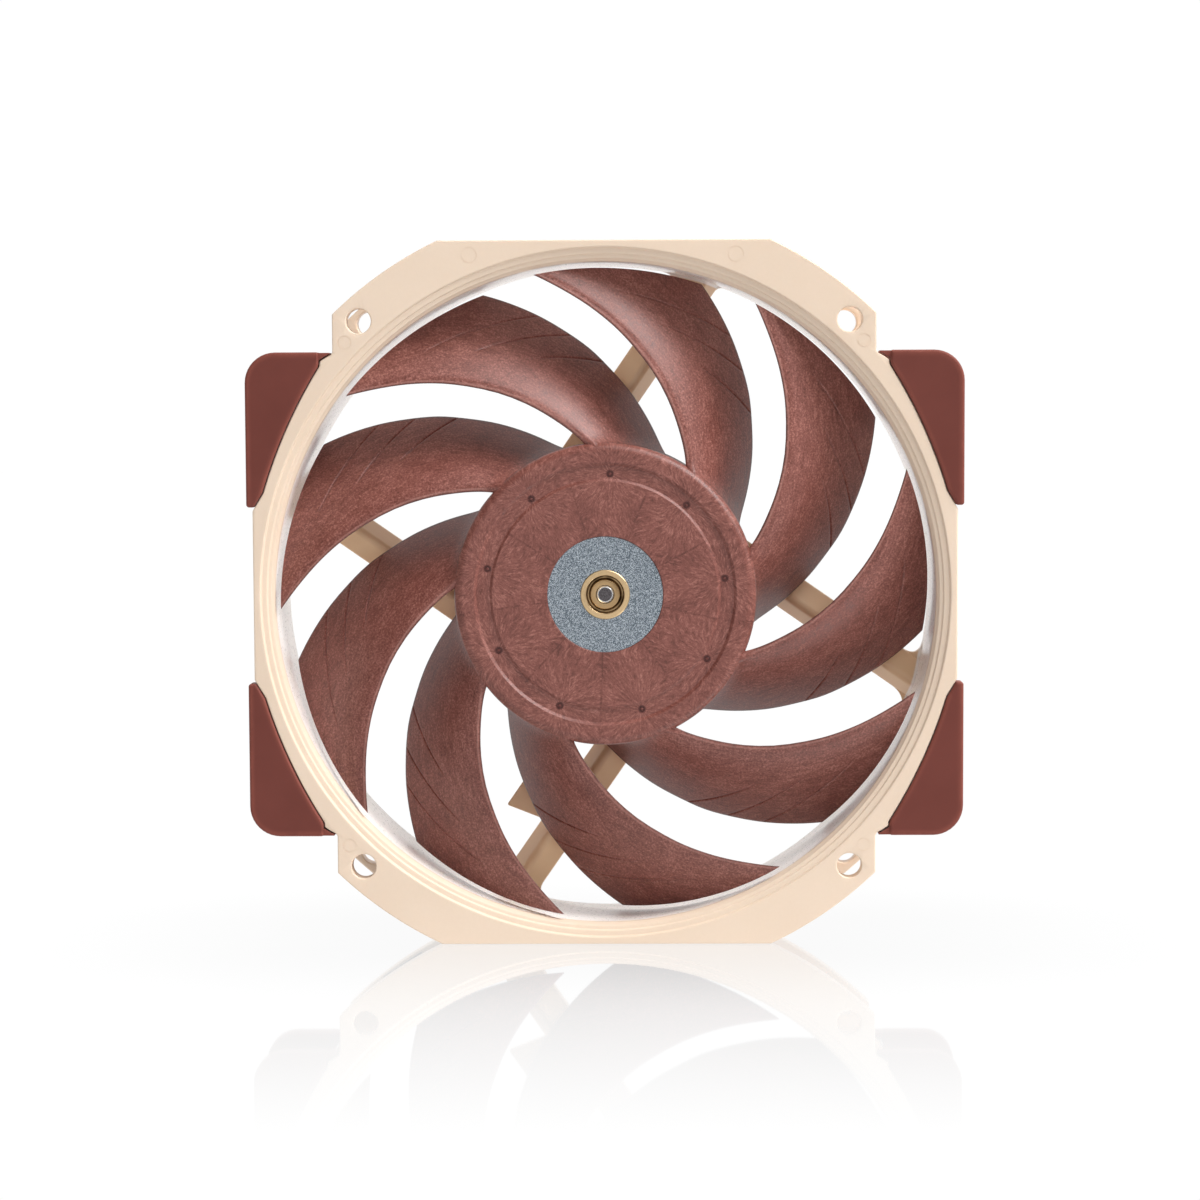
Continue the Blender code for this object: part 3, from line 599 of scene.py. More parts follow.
def plastic(name, rgb, rough=0.45, grain=0.3, spread=0.06, scale=2.2):
    """A moulded plastic: slight mottling, fine grain, roughness that varies."""
    g = Finish(name)
    broad = g.noise(scale=0.12, detail=2)
    fine = g.noise(scale=scale, detail=4)
    dark, light = varied(rgb, spread)
    return g.done(
        color=g.ramp(fine.times_plus(0.4, broad * 0.6), (0.3, dark), (0.7, light)),
        rough=fine.span(0.3, 0.7, to=(rough - 0.05, rough + 0.05)),
        normal=g.bump(g.noise(scale=scale * 4, detail=3), strength=grain, mm=0.02),
        spec=0.5,
    )


def metal(name, rgb, rough=0.3, rings=0.0, speckle=0.06, scale=3.0):
    """Metal with a varying polish, and turning rings about the rotor axis if rings is set."""
    g = Finish(name)
    fine = g.noise(scale=scale, detail=4)
    dark, light = varied(rgb, speckle)
    if rings:
        x, y, z = g.position()
        turned = g.xyz(distance(x, z) * rings, y * rings, 0.0)
        height = g.noise(at=turned, scale=1.0, detail=3)
    else:
        height = g.noise(scale=12, detail=2)
    return g.done(
        color=g.ramp(fine, (0.35, dark), (0.65, light)),
        rough=fine.span(0.3, 0.7, to=(rough - 0.06, rough + 0.06)),
        metal=1.0,
        normal=g.bump(height, strength=0.25, mm=0.02),
    )


def frame_finish():
    """Satin beige, with a deeper, warmer tan of painted shade and bounce light on the struts and the
    motor base, and a paler, smoother tunnel wall whose paleness is a painted reflection of the white
    backdrop.
    """
    g = Finish("finish_frame")
    x, y, z = g.position()
    radius = distance(x, z)
    broad = g.noise(scale=0.05, detail=3)
    fine = g.noise(scale=1.6, detail=5, rough=0.6)
    tone = broad * 0.7 + fine * 0.3
    color = g.ramp(tone, (0.3, (0.745, 0.590, 0.455)), (0.7, (0.790, 0.635, 0.500)))
    # painted shade and bounce light: the struts and the motor base read a deeper, warmer tan
    strut_bounce_shade = y.span(4.5, 6.5) * radius.span(56.2, 55.6)
    color = g.mix(strut_bounce_shade * 0.85, color, (0.82, 0.56, 0.33))
    # tunnel wall: inside the bore, behind the lip; its paler colour is a painted reflection of the
    # white backdrop
    wall = radius.span(56.6, 56.4) * y.span(-10.0, -9.6)
    wall = wall * radius.span(55.7, 56.0)
    height = g.noise(scale=3.0, detail=3) * wall.times_plus(-0.6, 1.0)
    return g.done(
        # painted reflection: the tunnel wall is made paler
        color=g.mix(wall * 0.85, color, (0.95, 0.90, 0.86)),
        rough=fine.span(0.3, 0.7, to=(0.36, 0.46)) + wall * -0.10,
        normal=g.bump(height, strength=0.16, mm=0.03),
        spec=0.5,
        sss=0.08,
        sss_radius=(1.0, 0.7, 0.45),
        sss_scale=0.0012,
    )


def fan_strokes(g, radius, off, sector):
    """Strokes that fan out from each gate, and the distance from it in mm."""
    angle = off * (math.pi / 180)
    aside = radius * angle.sine()
    inward = 20.6 - radius * angle.cosine()
    away = distance(aside, inward)
    heading = aside.arctan2(inward + 0.001)
    wobble = g.noise(scale=0.16, detail=3)
    heading = heading + (wobble - 0.5) * 0.7
    lane = sector * 7.3  # sets the pattern of each sector apart
    near, middle, far = [
        g.noise(at=g.xyz(heading * strokes, away * 0.22, lane), scale=3.0, detail=4, rough=0.80)
        for strokes in (2.1, 5.0, 9.5)
    ]
    outer = g.blend(away.span(6.0, 8.5), middle, far)
    return g.blend(away.span(2.0, 3.5), near, outer), away


def blade_streaks(g, radius, degrees, y):
    """Streaks that follow the sweep of the blades, bent by a slow noise."""
    sweep = (degrees - radius * 1.52) * 0.7
    bend = g.noise(scale=0.07, detail=2)
    place = g.xyz(sweep + bend * 9.0, radius * 0.30 + bend * 3.0, y * 0.4)
    return g.noise(at=place, scale=1.5, detail=4, rough=0.65)


def blade_edge_distances(g, radius, degrees):
    """Distance in mm from the nearest leading edge and from the nearest trailing edge."""
    shift, scale, steps = 20, 100, 24  # bring the tabled angles between 0 and 1
    place = radius.span(ROOT_R, TIP_R, smooth=False)
    mm_per_degree = radius * (0.72 * math.pi / 180)  # 0.72 allows for the lean of the edges
    found = []
    for column in (LEADING, TRAILING):
        radii = [ROOT_R + (TIP_R - ROOT_R) * i / steps for i in range(steps + 1)]
        angles = [(edge_angle(r, column) + shift) / scale for r in radii]
        turned = degrees + (720 + shift + BLADE_TURN)
        past = (turned - g.table(place, angles) * scale) % PITCH
        found.append(past.smaller(PITCH - past) * mm_per_degree)
    return found


def impeller_finish():
    """Fibre-filled brown plastic: flow lines fan out from nine gates and run along the blades."""
    g = Finish("finish_impeller")
    x, y, z = g.position()
    radius = distance(x, z)
    degrees = z.arctan2(x) * (180 / math.pi)
    shifted = degrees - (GATE_ANGLE + PITCH / 2) + 720.0
    sector = (shifted / PITCH).floor()
    off = shifted % PITCH - PITCH / 2  # degrees from the nearest gate
    fan, away = fan_strokes(g, radius, off, sector)
    streak = blade_streaks(g, radius, degrees, y)
    hub = radius.span(26.6, 25.9) * y.span(-9.0, -10.6)  # the front of the hub
    flow = g.blend(hub, streak, fan)
    mottle = g.noise(scale=0.22, detail=3)
    grain = g.noise(scale=3.0, detail=2, rough=0.7)
    gate = away.span(0.85, 0.55) * hub
    # the seams where two flows meet, midway between the gates
    seam = abs(abs(off) - PITCH / 2).span(0.9, 0.15)
    seam = seam * hub * g.noise(scale=0.5, detail=2).span(0.35, 0.6, to=(0.2, 1.0))
    petal = abs(off).span(6.0, 19.5) * (hub * radius.span(19.6, 13.0))
    # the hub's surface is all strokes, the blades' is mostly grain
    strokes = (flow - 0.5) * g.blend(hub, 0.40, 1.0)
    tone = strokes + (grain - 0.5) * g.blend(hub, 0.80, 0.36)
    tone = (mottle - 0.5).times_plus(0.20, 0.5) + tone
    tone = tone - (seam * radius.span(19.2, 19.8, to=(0.13, 0.05)) + petal * 0.05)
    color = g.ramp(
        tone,
        (0.31, (0.100, 0.024, 0.016)),
        (0.44, (0.172, 0.049, 0.035)),
        (0.54, (0.226, 0.072, 0.054)),
        (0.69, (0.364, 0.148, 0.117)),
    )
    color = g.mix(gate * 0.75, color, (0.105, 0.018, 0.014))
    # painted shade as a dark outline on both edges of a blade, and a painted highlight as a pale line
    # just inside the leading one
    to_lead, to_trail = blade_edge_distances(g, radius, degrees)
    blade = radius.span(26.6, 27.6)
    lead_highlight = abs(to_lead - 0.46).span(0.24, 0.04) * blade
    color = g.mix(lead_highlight * 0.34, color, (0.46, 0.235, 0.195))
    # painted shade: the dark outline along both blade edges
    rim = to_lead.span(0.26, 0.10).larger(to_trail.span(0.24, 0.10)) * blade
    color = g.mix(rim * 0.62, color, (0.045, 0.012, 0.009))
    # painted shade: surfaces that turn away from the eye are darkened, as a matt plastic looks against
    # a bright room
    turned = g.facing(blend=0.5).span(0.60, 0.95)
    height = flow * g.blend(hub, 0.35, 0.9) + grain * g.blend(hub, 1.0, 0.6)
    return g.done(
        color=g.mix(turned * 0.75, color, (0.060, 0.018, 0.013)),
        rough=tone.span(0.35, 0.65, to=(0.40, 0.50)),
        normal=g.bump(height, strength=0.62, mm=0.06),
        spec=turned.times_plus(-0.46, 0.54),
    )


def pad_finish():
    """Soft red-brown rubber, paler along its rounded rims, with a painted sheen where it turns away
    from the eye.
    """
    g = Finish("finish_pad")
    x, _, z = g.position()
    fine = g.noise(scale=2.0, detail=4)
    broad = g.noise(scale=0.1, detail=2)
    tone = fine * 0.35 + broad * 0.65
    color = g.ramp(tone, (0.3, (0.130, 0.028, 0.019)), (0.7, (0.158, 0.037, 0.026)))
    # distance in from the two straight sides with their round corner, and from the seat's arc
    x, z = abs(x), abs(z)
    corner_x = (x - (PAD_X - PAD_R)).larger(0.0)
    corner_z = (z - (PAD_Y - PAD_R)).larger(0.0)
    from_sides = PAD_R - distance(corner_x, corner_z)
    from_seat = distance(x - SEAT_C[0], z - SEAT_C[1]) - SEAT_RADIUS
    rim = from_sides.smaller(from_seat).span(1.25, 0.25)
    rim = rim * g.noise(scale=0.35, detail=3).span(0.25, 0.7, to=(0.55, 1.0))
    color = g.mix(rim * 0.85, color, (0.225, 0.057, 0.039))
    # painted sheen: surfaces that turn away from the eye are made paler
    turned = g.facing(blend=0.35).span(0.3, 0.95)
    return g.done(
        color=g.mix(turned * 0.4, color, (0.30, 0.080, 0.055)),
        rough=fine.span(0.3, 0.7, to=(0.58, 0.68)),
        normal=g.bump(g.noise(scale=7.0, detail=3), strength=0.25, mm=0.02),
        spec=0.3,
        sheen=0.10,
        sheen_rough=0.4,
    )


def yoke_finish():
    """Speckled blue-grey steel."""
    g = Finish("finish_yoke")
    fine = g.noise(scale=13.0, detail=1, rough=0.8)
    speck = g.value("SeparateColor", g.cells(scale=9.5, output="Color"))
    tone = (fine - 0.5) * 0.55 + (speck - 0.5).times_plus(0.66, 0.475)
    return g.done(
        color=g.ramp(
            tone,
            (0.28, (0.085, 0.11, 0.135)),
            (0.5, (0.205, 0.24, 0.275)),
            (0.72, (0.50, 0.55, 0.60)),
        ),
        rough=tone.span(0.3, 0.7, to=(0.52, 0.40)),
        metal=0.65,
        normal=g.bump(tone, strength=0.35, mm=0.02),
    )


def brass_finish():
    """Turned brass, with painted shade on the boss and darker painted shade in the channel between the
    boss and the lip.
    """
    g = Finish("finish_brass")
    x, y, z = g.position()
    radius = distance(x, z)
    rings = g.noise(at=g.xyz(radius * 9.0, y * 9.0, 0.0), scale=1.0, detail=3)
    fine = g.noise(scale=3.0, detail=4)
    tone = rings * 0.5 + fine * 0.5
    color = g.ramp(tone, (0.35, (0.58, 0.40, 0.215)), (0.62, (0.68, 0.50, 0.29)))
    # painted shade: the boss round the shaft is darker than the lip, and the channel between them
    # darker still
    boss_shade = g.mix(0.55, color, (0.36, 0.215, 0.095))
    color = g.mix(radius.span(2.62, 2.45), color, boss_shade)
    # painted shade, uneven, in the channel: the recess between the boss and the lip
    channel = radius.span(2.5, 2.62) * radius.span(3.22, 3.08)
    channel_shade = channel * g.noise(scale=0.45, detail=2).span(0.35, 0.6, to=(0.45, 0.92))
    return g.done(
        color=g.mix(channel_shade, color, (0.075, 0.042, 0.018)),
        rough=fine.span(0.3, 0.7, to=(0.30, 0.42)),
        metal=1.0,
        normal=g.bump(rings, strength=0.10, mm=0.02),
    )


def shaft_finish():
    """Ground steel: bright on its side and rim, dull on its front end."""
    g = Finish("finish_shaft")
    x, y, z = g.position()
    radius = distance(x, z)
    end = radius.span(1.24, 1.12) * y.span(-11.2, -11.3)
    fine = g.noise(scale=5.0, detail=4)
    lines = g.noise(at=g.xyz(y * 12.0, radius * 6.0, 0.0), scale=1.0, detail=3)
    bright = g.ramp(fine, (0.35, (0.56, 0.56, 0.58)), (0.65, (0.68, 0.68, 0.70)))
    dull = g.ramp(fine, (0.35, (0.070, 0.062, 0.066)), (0.65, (0.150, 0.135, 0.142)))
    return g.done(
        color=g.mix(end, bright, dull),
        rough=end.times_plus(0.3, 0.2),
        metal=0.9,
        normal=g.bump(lines + fine, strength=0.2, mm=0.02),
    )


def coil_finish():
    """Enamelled wire: fine parallel turns wound across the pole's length."""
    g = Finish("finish_coil")
    x, _, z = g.position()
    radius = distance(x, z)
    turns = (abs(x).larger(abs(z)) * 26.0).sine()
    tone = turns * 0.22 + g.noise(scale=1.2, detail=4)
    return g.done(
        color=g.ramp(
            tone,
            (0.25, (0.25, 0.075, 0.03)),
            (0.6, (0.62, 0.25, 0.11)),
            (0.85, (0.85, 0.42, 0.22)),
        ),
        rough=radius.span(8, 18, to=(0.30, 0.36)),
        metal=0.9,
        normal=g.bump(turns, strength=0.9, mm=0.05),
        coat=0.4,
        coat_rough=0.2,
    )


def lamination_finish():
    """Steel sheets stacked along the axis."""
    g = Finish("finish_lamination")
    _, y, _ = g.position()
    sheets = (y * 14.0).sine()
    tone = sheets * 0.15 + g.noise(scale=2.0, detail=4)
    return g.done(
        color=g.ramp(tone, (0.3, (0.16, 0.16, 0.175)), (0.7, (0.36, 0.36, 0.38))),
        rough=0.45,
        metal=0.9,
        normal=g.bump(sheets, strength=0.6, mm=0.05),
    )


def board_finish():
    """Green circuit board with paler tracks."""
    g = Finish("finish_pcb")
    fine = g.noise(scale=0.8, detail=4)
    track = abs((g.cells(scale=0.35, output="Distance") * 5.0).sine()).span(0.86, 0.95)
    field = g.ramp(fine, (0.3, (0.010, 0.105, 0.045)), (0.7, (0.018, 0.15, 0.065)))
    return g.done(
        color=g.mix(track * 0.6, field, (0.04, 0.26, 0.11)),
        rough=0.3,
        coat=0.5,
        coat_rough=0.15,
        normal=g.bump(track, strength=0.4, mm=0.03),
    )


def label_finish():
    """A blank label: a plain field with two rings and no lettering."""
    g = Finish("finish_label")
    x, _, z = g.position()
    radius = distance(x, z)
    outer = radius.span(18.0, 18.15) * radius.span(18.9, 18.75)
    inner = radius.span(9.0, 9.1) * radius.span(9.6, 9.5)
    fine = g.noise(scale=1.4, detail=4)
    field = g.ramp(fine, (0.3, (0.150, 0.052, 0.038)), (0.7, (0.190, 0.070, 0.052)))
    return g.done(
        color=g.mix(outer.larger(inner), field, (0.72, 0.58, 0.44)),
        rough=fine.span(0.3, 0.7, to=(0.32, 0.42)),
        coat=0.25,
        coat_rough=0.25,
        normal=g.bump(g.noise(scale=3.0, detail=3), strength=0.1, mm=0.02),
    )


def sleeving_finish():
    """Black sleeving with a fine crossed weave."""
    g = Finish("finish_sleeving")
    x, y, z = g.position()
    one_way = ((x + (z + y)) * 9.0).sine()
    other_way = ((x + z - y * 1.6) * 9.0).sine()
    weave = one_way * other_way
    tone = weave * 0.3 + g.noise(scale=2.0, detail=3)
    return g.done(
        color=g.ramp(tone, (0.3, (0.010, 0.010, 0.011)), (0.8, (0.040, 0.040, 0.043))),
        rough=0.62,
        normal=g.bump(weave, strength=0.8, mm=0.06),
    )


# ------------------------------------------------------------------ frame
# from the right flat up to the ear, between the end of the seat and the start of the ear
QUADRANT = (
    [(HALF, 0.0), (HALF, 14.4), (59.7, 14.9)]
    + SEAT
    + [(48.3, 39.0), (48.25, 39.7), (47.2, 40.4), (46.4, 40.8), (EAR_X, 41.3)]
)
HOLE_R, HOLE_X, HOLE_Y = 2.1, 41.6, 46.5

# tunnel cutter: the mouth's outer radius and its rolled edge, then (radius, depth, rounding)
MOUTH_R = 59.05
ROLL_WIDTH, ROLL_DEPTH = 0.30, 0.28
TUNNEL = [
    (58.68, 0.42, 0), (58.6, 0.52, 0.15), (57.72, 0.62, 0.35), (57.6, 1.0, 0.2),
    (56.98, 1.12, 0.35), (56.82, 1.5, 0.25), (56.5, 1.95, 0.3), (56.42, 2.8, 0),
    (TUNNEL_R, 3.3, 0), (TUNNEL_R, 24.55, 0.4), (56.7, 25.0, 0), (56.7, 26.0, 0),
]
# shallow ring grooves in the intake face: x, y, outer radius
GROOVES = [
    (-22.8, 57.5, 1.35), (22.3, 57.5, 1.35),
    (-44.0, 42.9, 1.15), (44.0, 42.9, 1.15), (-44.0, -42.9, 1.15), (44.0, -42.9, 1.15),
]
# motor base: radius, depth, rounding
BASE = [
    (4.55, 19.6, 0.15), (6.4, 19.6, 0.25), (6.4, 23.2, 0.3), (23.9, 23.2, 0.4),
    (24.0, 20.0, 0.3), (25.2, 20.05, 0.35), (25.2, 24.65, 0.35), (20.7, 24.65, 0.12),
    (20.6, 24.1, 0.1), (4.55, 24.1, 0.15),
]
# a tab that carries a corner pad, in the upper right corner
TAB = [
    (57.4, 15.8), (59.2, 17.6), (59.2, 37.2), (57.4, 39.4), (51.4, 39.4), (50.4, 38.4),
    (49.0, 35.0), (53.0, 27.0), (56.0, 19.0),
]
STRUT_ANGLE = 55.2  # degrees, the direction of the first strut; the others follow at 90
STRUT_OFFSET = 17.4  # from the axis to a strut's middle line
STRUT_W = 6.5
STRUT_INNER_R, STRUT_OUTER_R = 24.55, 57.0  # buried in the motor base and in the barrel
NEARER = (0.05, 0.44, 0.50, -0.21)  # how much nearer the axis each strut stands
CABLE_STRUT = 2


def frame_outline(ear_radius):
    start = math.degrees(math.atan2(math.sqrt(ear_radius**2 - EAR_X**2), EAR_X))
    end = math.degrees(math.atan2(HALF, math.sqrt(ear_radius**2 - HALF**2)))
    loop = four_ways(QUADRANT + arc(ear_radius, start, end, 24))
    return round_corners(with_radius(loop, 0.35), least=14)


def tunnel_cutter():
    roll = []
    for k in range(1, 6):
        angle = math.pi / 2 * k / 5
        x = MOUTH_R - ROLL_WIDTH * math.sin(angle)
        roll.append((x, ROLL_DEPTH - ROLL_DEPTH * math.cos(angle)))
    mouth = [(0, -1.0), (MOUTH_R, -1.0), (MOUTH_R, 0.0)]
    return lathe("tunnel", mouth + roll + round_corners(TUNNEL, 5) + [(0, 26.0)], 256)


def groove_cutter(x, y, radius):
    inner = radius - 0.14
    profile = [(inner, -0.5), (radius, -0.5), (radius, 0.05), (inner, 0.05)]
    ring = lathe("ejector", profile, 32)
    ring.data.transform(Matrix.Translation((x * MM, y * MM, 0)))
    return ring


def strut_axes(k):
    """Unit vectors along a strut, outwards, and across it."""
    angle = math.radians(STRUT_ANGLE + 90 * k)
    cos, sin = math.cos(angle), math.sin(angle)
    return Vector((cos, sin, 0)), Vector((-sin, cos, 0))


def strut_place(k, across, along):
    """Plan place, in mm, measured from the axis across and along a strut."""
    along_axis, across_axis = strut_axes(k)
    return across_axis * across + along_axis * along


def strut(k):
    """A channel, open to the rear, with a ridged front."""
    side = STRUT_W / 2
    wall = 2.3 + (0.5 if k == CABLE_STRUT else 0.0)
    section = [  # across, depth, rounding
        (-side, 23.0, 0.35), (-0.9, 19.0, 1.3), (side, 21.6, 0.5), (side, 24.6, 0.2),
        (wall, 24.6, 0.15), (wall - 0.2, 21.9, 0.5), (-1.75, 21.9, 0.5), (-1.95, 24.6, 0.2),
        (-side, 24.6, 0.25),
    ]
    section = round_corners(section, 6)
    bm = bmesh.new()
    rings = []
    for end_radius in (STRUT_INNER_R, STRUT_OUTER_R):
        ring = []
        for across, depth in section:
            offset = STRUT_OFFSET + across - NEARER[k]
            reach = math.sqrt(end_radius**2 - offset**2)
            point = strut_place(k, offset, reach) * MM
            ring.append(bm.verts.new((point.x, point.y, zd(depth))))
        rings.append(ring)
    bridge(bm, *rings)
    for ring in rings:
        bm.faces.new(ring)
    return new_object(f"s{k}", bm)


def web(k, side):
    """The curved web between a strut's edge and the tunnel wall."""
    angle = math.radians(STRUT_ANGLE + 90 * k)
    edge = STRUT_OFFSET - NEARER[k] + side * STRUT_W / 2
    size = 0.35 if (k, side) == (0, -1) else 1.0

    def wall(offset):
        return math.sqrt(TUNNEL_R**2 - offset**2)

    start = (edge, wall(edge) - 3.6 * size)
    corner = (edge, wall(edge))
    end = (edge + side * 3.4 * size, wall(edge + side * 3.4 * size))
    curve = [
        tuple((1 - t) ** 2 * a + 2 * t * (1 - t) * b + t * t * c for a, b, c in zip(start, corner, end))
        for t in [i / 10 for i in range(11)]
    ]
    # both ends run on into the strut and the wall
    local = [(edge - side * 0.8, start[1] - 0.2)] + curve
    local += [(end[0], end[1] + 0.5), (edge - side * 0.8, corner[1] + 0.5)]
    cos, sin = math.cos(angle), math.sin(angle)
    loop = [(-sin * across + cos * along, cos * across + sin * along) for across, along in local]
    return plate("web", [loop], 22.1 if side > 0 else 23.2, 24.5, bevel=0.2, segments=2)


def cable_guide():
    """The plate beside the cable strut."""
    corners = []  # across and along the strut, rounding
    for across, along, rounding in [
        (7.0, 31.3, 0.6), (15.2, 28.9, 0), (15.2, 39.6, 0), (7.0, 41.55, 0.3),
    ]:
        place = strut_place(CABLE_STRUT, across, along)
        corners.append((place.x, place.y, rounding))
    return plate("guide", [round_corners(corners)], 20.6, 22.0, bevel=0.2)


def cable_cutters():
    """The opening at the inner end of the cable strut, and the notch at its outer end."""
    axes = (*strut_axes(CABLE_STRUT), UP)
    cutters = []
    for name, across, along, depth, size in [
        ("wire_door", STRUT_OFFSET, 18.6, 23.05, (6.4, 3.9, 1.9)),
        ("exit_notch", STRUT_OFFSET + 0.15, 56.5, 23.0, (9.0, 3.7, 6.0)),
    ]:
        place = strut_place(CABLE_STRUT, across, along)
        centre = Vector((place.x * MM, place.y * MM, zd(depth)))
        cutters.append(box(name, centre, axes, size))
    return cutters


def build_frame(finish):
    holes = [circle(HOLE_R, 48, sx * HOLE_X, sy * HOLE_Y) for sx in (1, -1) for sy in (1, -1)]
    front, rear = [
        plate(name, [frame_outline(ear)] + holes, near, near + FLANGE, bevel=0.28)
        for name, ear, near in [
            ("flange_front", FRONT_EAR_R, 0),
            ("flange_rear", REAR_EAR_R, DEPTH - FLANGE),
        ]
    ]
    barrel = lathe("barrel", [(0, 1.2), (58.0, 1.2), (58.0, DEPTH - 1.2), (0, DEPTH - 1.2)], 256)
    body = combine(front, [rear, barrel], "UNION")
    cutters = [tunnel_cutter()] + [groove_cutter(*groove) for groove in GROOVES]
    body = combine(body, cutters, "DIFFERENCE")

    parts = [lathe("base", round_corners(BASE), 160)]
    parts += [strut(k) for k in range(4)]
    parts += [web(k, side) for k in range(4) for side in (1, -1)]
    parts.append(cable_guide())
    for is_front in (True, False):
        for signs in CORNERS.values():
            loop = round_corners(with_radius(in_corner(TAB, signs), 0.4), 3)
            span = depths(1.9, 3.4, is_front)
            parts.append(plate("tab", [loop], *span, bevel=0.15, segments=2))
    body = combine(body, parts, "UNION")
    body = combine(body, cable_cutters(), "DIFFERENCE")
    body.name = "frame_body"
    show(body, STATOR, "frame", finish, smooth=28)


# ------------------------------------------------------------------ corner pads
# all drawn in the upper right corner
PAD_CORNERS = [  # x, y, rounding
    (59.75, 15.05, 0.5), (PAD_X, 15.05, 0.5), (PAD_X, PAD_Y, PAD_R), (48.5, PAD_Y, 0.4),
    (48.45, 39.3, 0.2),
]
SEAT_GAP = 0.17  # between a pad and its seat
TONGUE = [
    (46.6, 41.0), (47.3, 40.65), (48.4, 39.95), (49.4, 39.95), (49.4, 41.2), (46.6, 41.2),
]
POCKET = [
    (56.9, 15.4), (58.6, 16.2), (59.55, 17.4), (59.55, 37.4), (57.6, 39.8), (51.2, 39.8),
    (50.0, 38.7), (48.0, 34.6), (52.6, 26.8), (55.6, 18.8),
]


def pad_outline():
    along_seat = []
    for i, (x, y) in enumerate(SEAT):
        angle = math.radians(22 + 17 * i / SEAT_STEPS)
        along_seat.append((x + SEAT_GAP * math.cos(angle), y + SEAT_GAP * math.sin(angle), 0.3))
    return round_corners(PAD_CORNERS + along_seat[::-1], 10, least=10)


def build_pads(finish):
    outline = pad_outline()
    tongue_outline = round_corners(with_radius(TONGUE, 0.12), 3)
    for is_front in (True, False):
        near, far = depths(-0.25, 4.55, is_front)
        for corner, signs in CORNERS.items():
            where = f"{'front' if is_front else 'rear'}_{corner}"
            pad = plate("pad", [in_corner(outline, signs)], near, far, bevel=0.45, segments=5)
            loop = in_corner(tongue_outline, signs)
            tongue = plate("tongue", [loop], near + 0.3, far - 0.3, bevel=0.1, segments=2)
            # the pocket that takes the frame's tab
            pocket = plate("pocket", [in_corner(POCKET, signs)], *depths(1.6, 3.7, is_front))
            pad = combine(combine(pad, [tongue], "UNION"), [pocket], "DIFFERENCE")
            pad.name = f"soft_pad_{where}"
            show(pad, STATOR, f"pad_{where}", finish, smooth=35)


# ------------------------------------------------------------------ impeller
# grooves on one side of each blade: radius at the trailing edge, radius at the groove's end,
# and where along the chord it ends (0 is the leading edge, 1 the trailing edge)
CHANNELS = [(48.9, 51.4, 0.36), (44.6, 46.8, 0.42), (39.5, 42.1, 0.50)]
# stations across a channel, from its middle line
CHANNEL_STATIONS = (-0.55, -0.36, -0.24, -0.16, -0.08, 0.0, 0.08, 0.16, 0.24, 0.36, 0.55)
CHORD = [0.5 - 0.5 * math.cos(math.pi * i / 40) for i in range(41)]
# radius, depth, rounding
HUB = [
    (9.88, HUB_FACE + 0.1, 0.2), (19.3, HUB_FACE + 0.1, 0.3), (19.72, HUB_FACE + 0.48, 0.2),
    (21.95, HUB_FACE + 0.48, 0.2), (22.42, HUB_FACE, 0.3), (25.84, HUB_FACE, 1.75),
    (25.84, 18.8, 0.2), (24.2, 18.8, 0.2), (24.2, 2.6, 0.3), (9.88, 2.6, 0.15),
]
# radius, depth
GATE_PIT = [(0.0, 0.0), (0.66, 0.0), (0.58, HUB_FACE + 0.75), (0.0, HUB_FACE + 0.75)]
GATE_PIP = [
    (0.0, HUB_FACE + 0.42), (0.17, HUB_FACE + 0.44), (0.24, HUB_FACE + 0.52),
    (0.26, HUB_FACE + 1.0), (0.0, HUB_FACE + 1.0),
]


def channel_radius(channel, s):
    trailing, end, s_end = channel
    return trailing + (end - trailing) * (1 - s) / (1 - s_end)


def blade_thickness(radius, s, side, chord):
    """Half the blade's thickness at s along the chord."""
    if s <= 0.0 or s >= 1.0:
        return 0.0
    outward = (radius - ROOT_R) / (TIP_R - ROOT_R)
    tail = 1.0 if s < 0.975 else math.sqrt(max(0.0, 1 - ((s - 0.975) / 0.025) ** 2))
    profile = 1.35 * math.sqrt(s) * (1 - s) ** 0.85 + 0.32 * min(1.0, 14 * s) * tail
    root = 0.9 * math.exp(-max(0.0, radius - 25.6) / 0.8)
    thick = (1.05 - 0.3 * outward) * profile + root * min(1.0, profile * 1.6)
    # the leading edge is rolled: a bead, then a shallow valley
    edge = s * abs(chord)
    rolled = min(1.0, max(0.0, (radius - 26.5) / 3.0))
    bead = 0.09 * math.exp(-(((edge - 0.42) / 0.32) ** 2))
    valley = 0.03 * math.exp(-(((edge - 1.15) / 0.35) ** 2))
    thick += rolled * (bead - valley)
    if side > 0:
        for channel in CHANNELS:
            s_end = channel[2]
            away = (radius - channel_radius(channel, s)) / 0.17
            if abs(away) < 4 and s > s_end - 0.03:
                fade = min(1.0, (s - s_end + 0.03) / 0.12) * min(1.0, (1.0 - s) / 0.03)
                thick -= 0.20 * math.exp(-away * away) * fade
    return thick


def blade_point(radius, s, side):
    """A point of the blade's skin. side is 1 on the face with the channels, -1 on the other."""
    lead, trail = edge_angle(radius, LEADING), edge_angle(radius, TRAILING)
    outward = (radius - ROOT_R) / (TIP_R - ROOT_R)
    lead_depth = 2.0 - 0.5 * outward
    rise = (15.6 + 0.9 * outward) - lead_depth
    bow = 0.55 + 0.1 * outward
    chord = radius * math.radians(trail - lead)
    around = radius * math.radians(lead) + chord * s
    depth = lead_depth + rise * (bow * s + (1 - bow) * s * s)
    slope = rise * (bow + 2 * (1 - bow) * s)
    length = math.hypot(chord, slope)
    thick = blade_thickness(radius, s, side, chord)
    around += -slope / length * thick * side
    depth += chord / length * thick * side
    x, y = radius * math.cos(around / radius), radius * math.sin(around / radius)
    return (x * MM, y * MM, zd(depth))


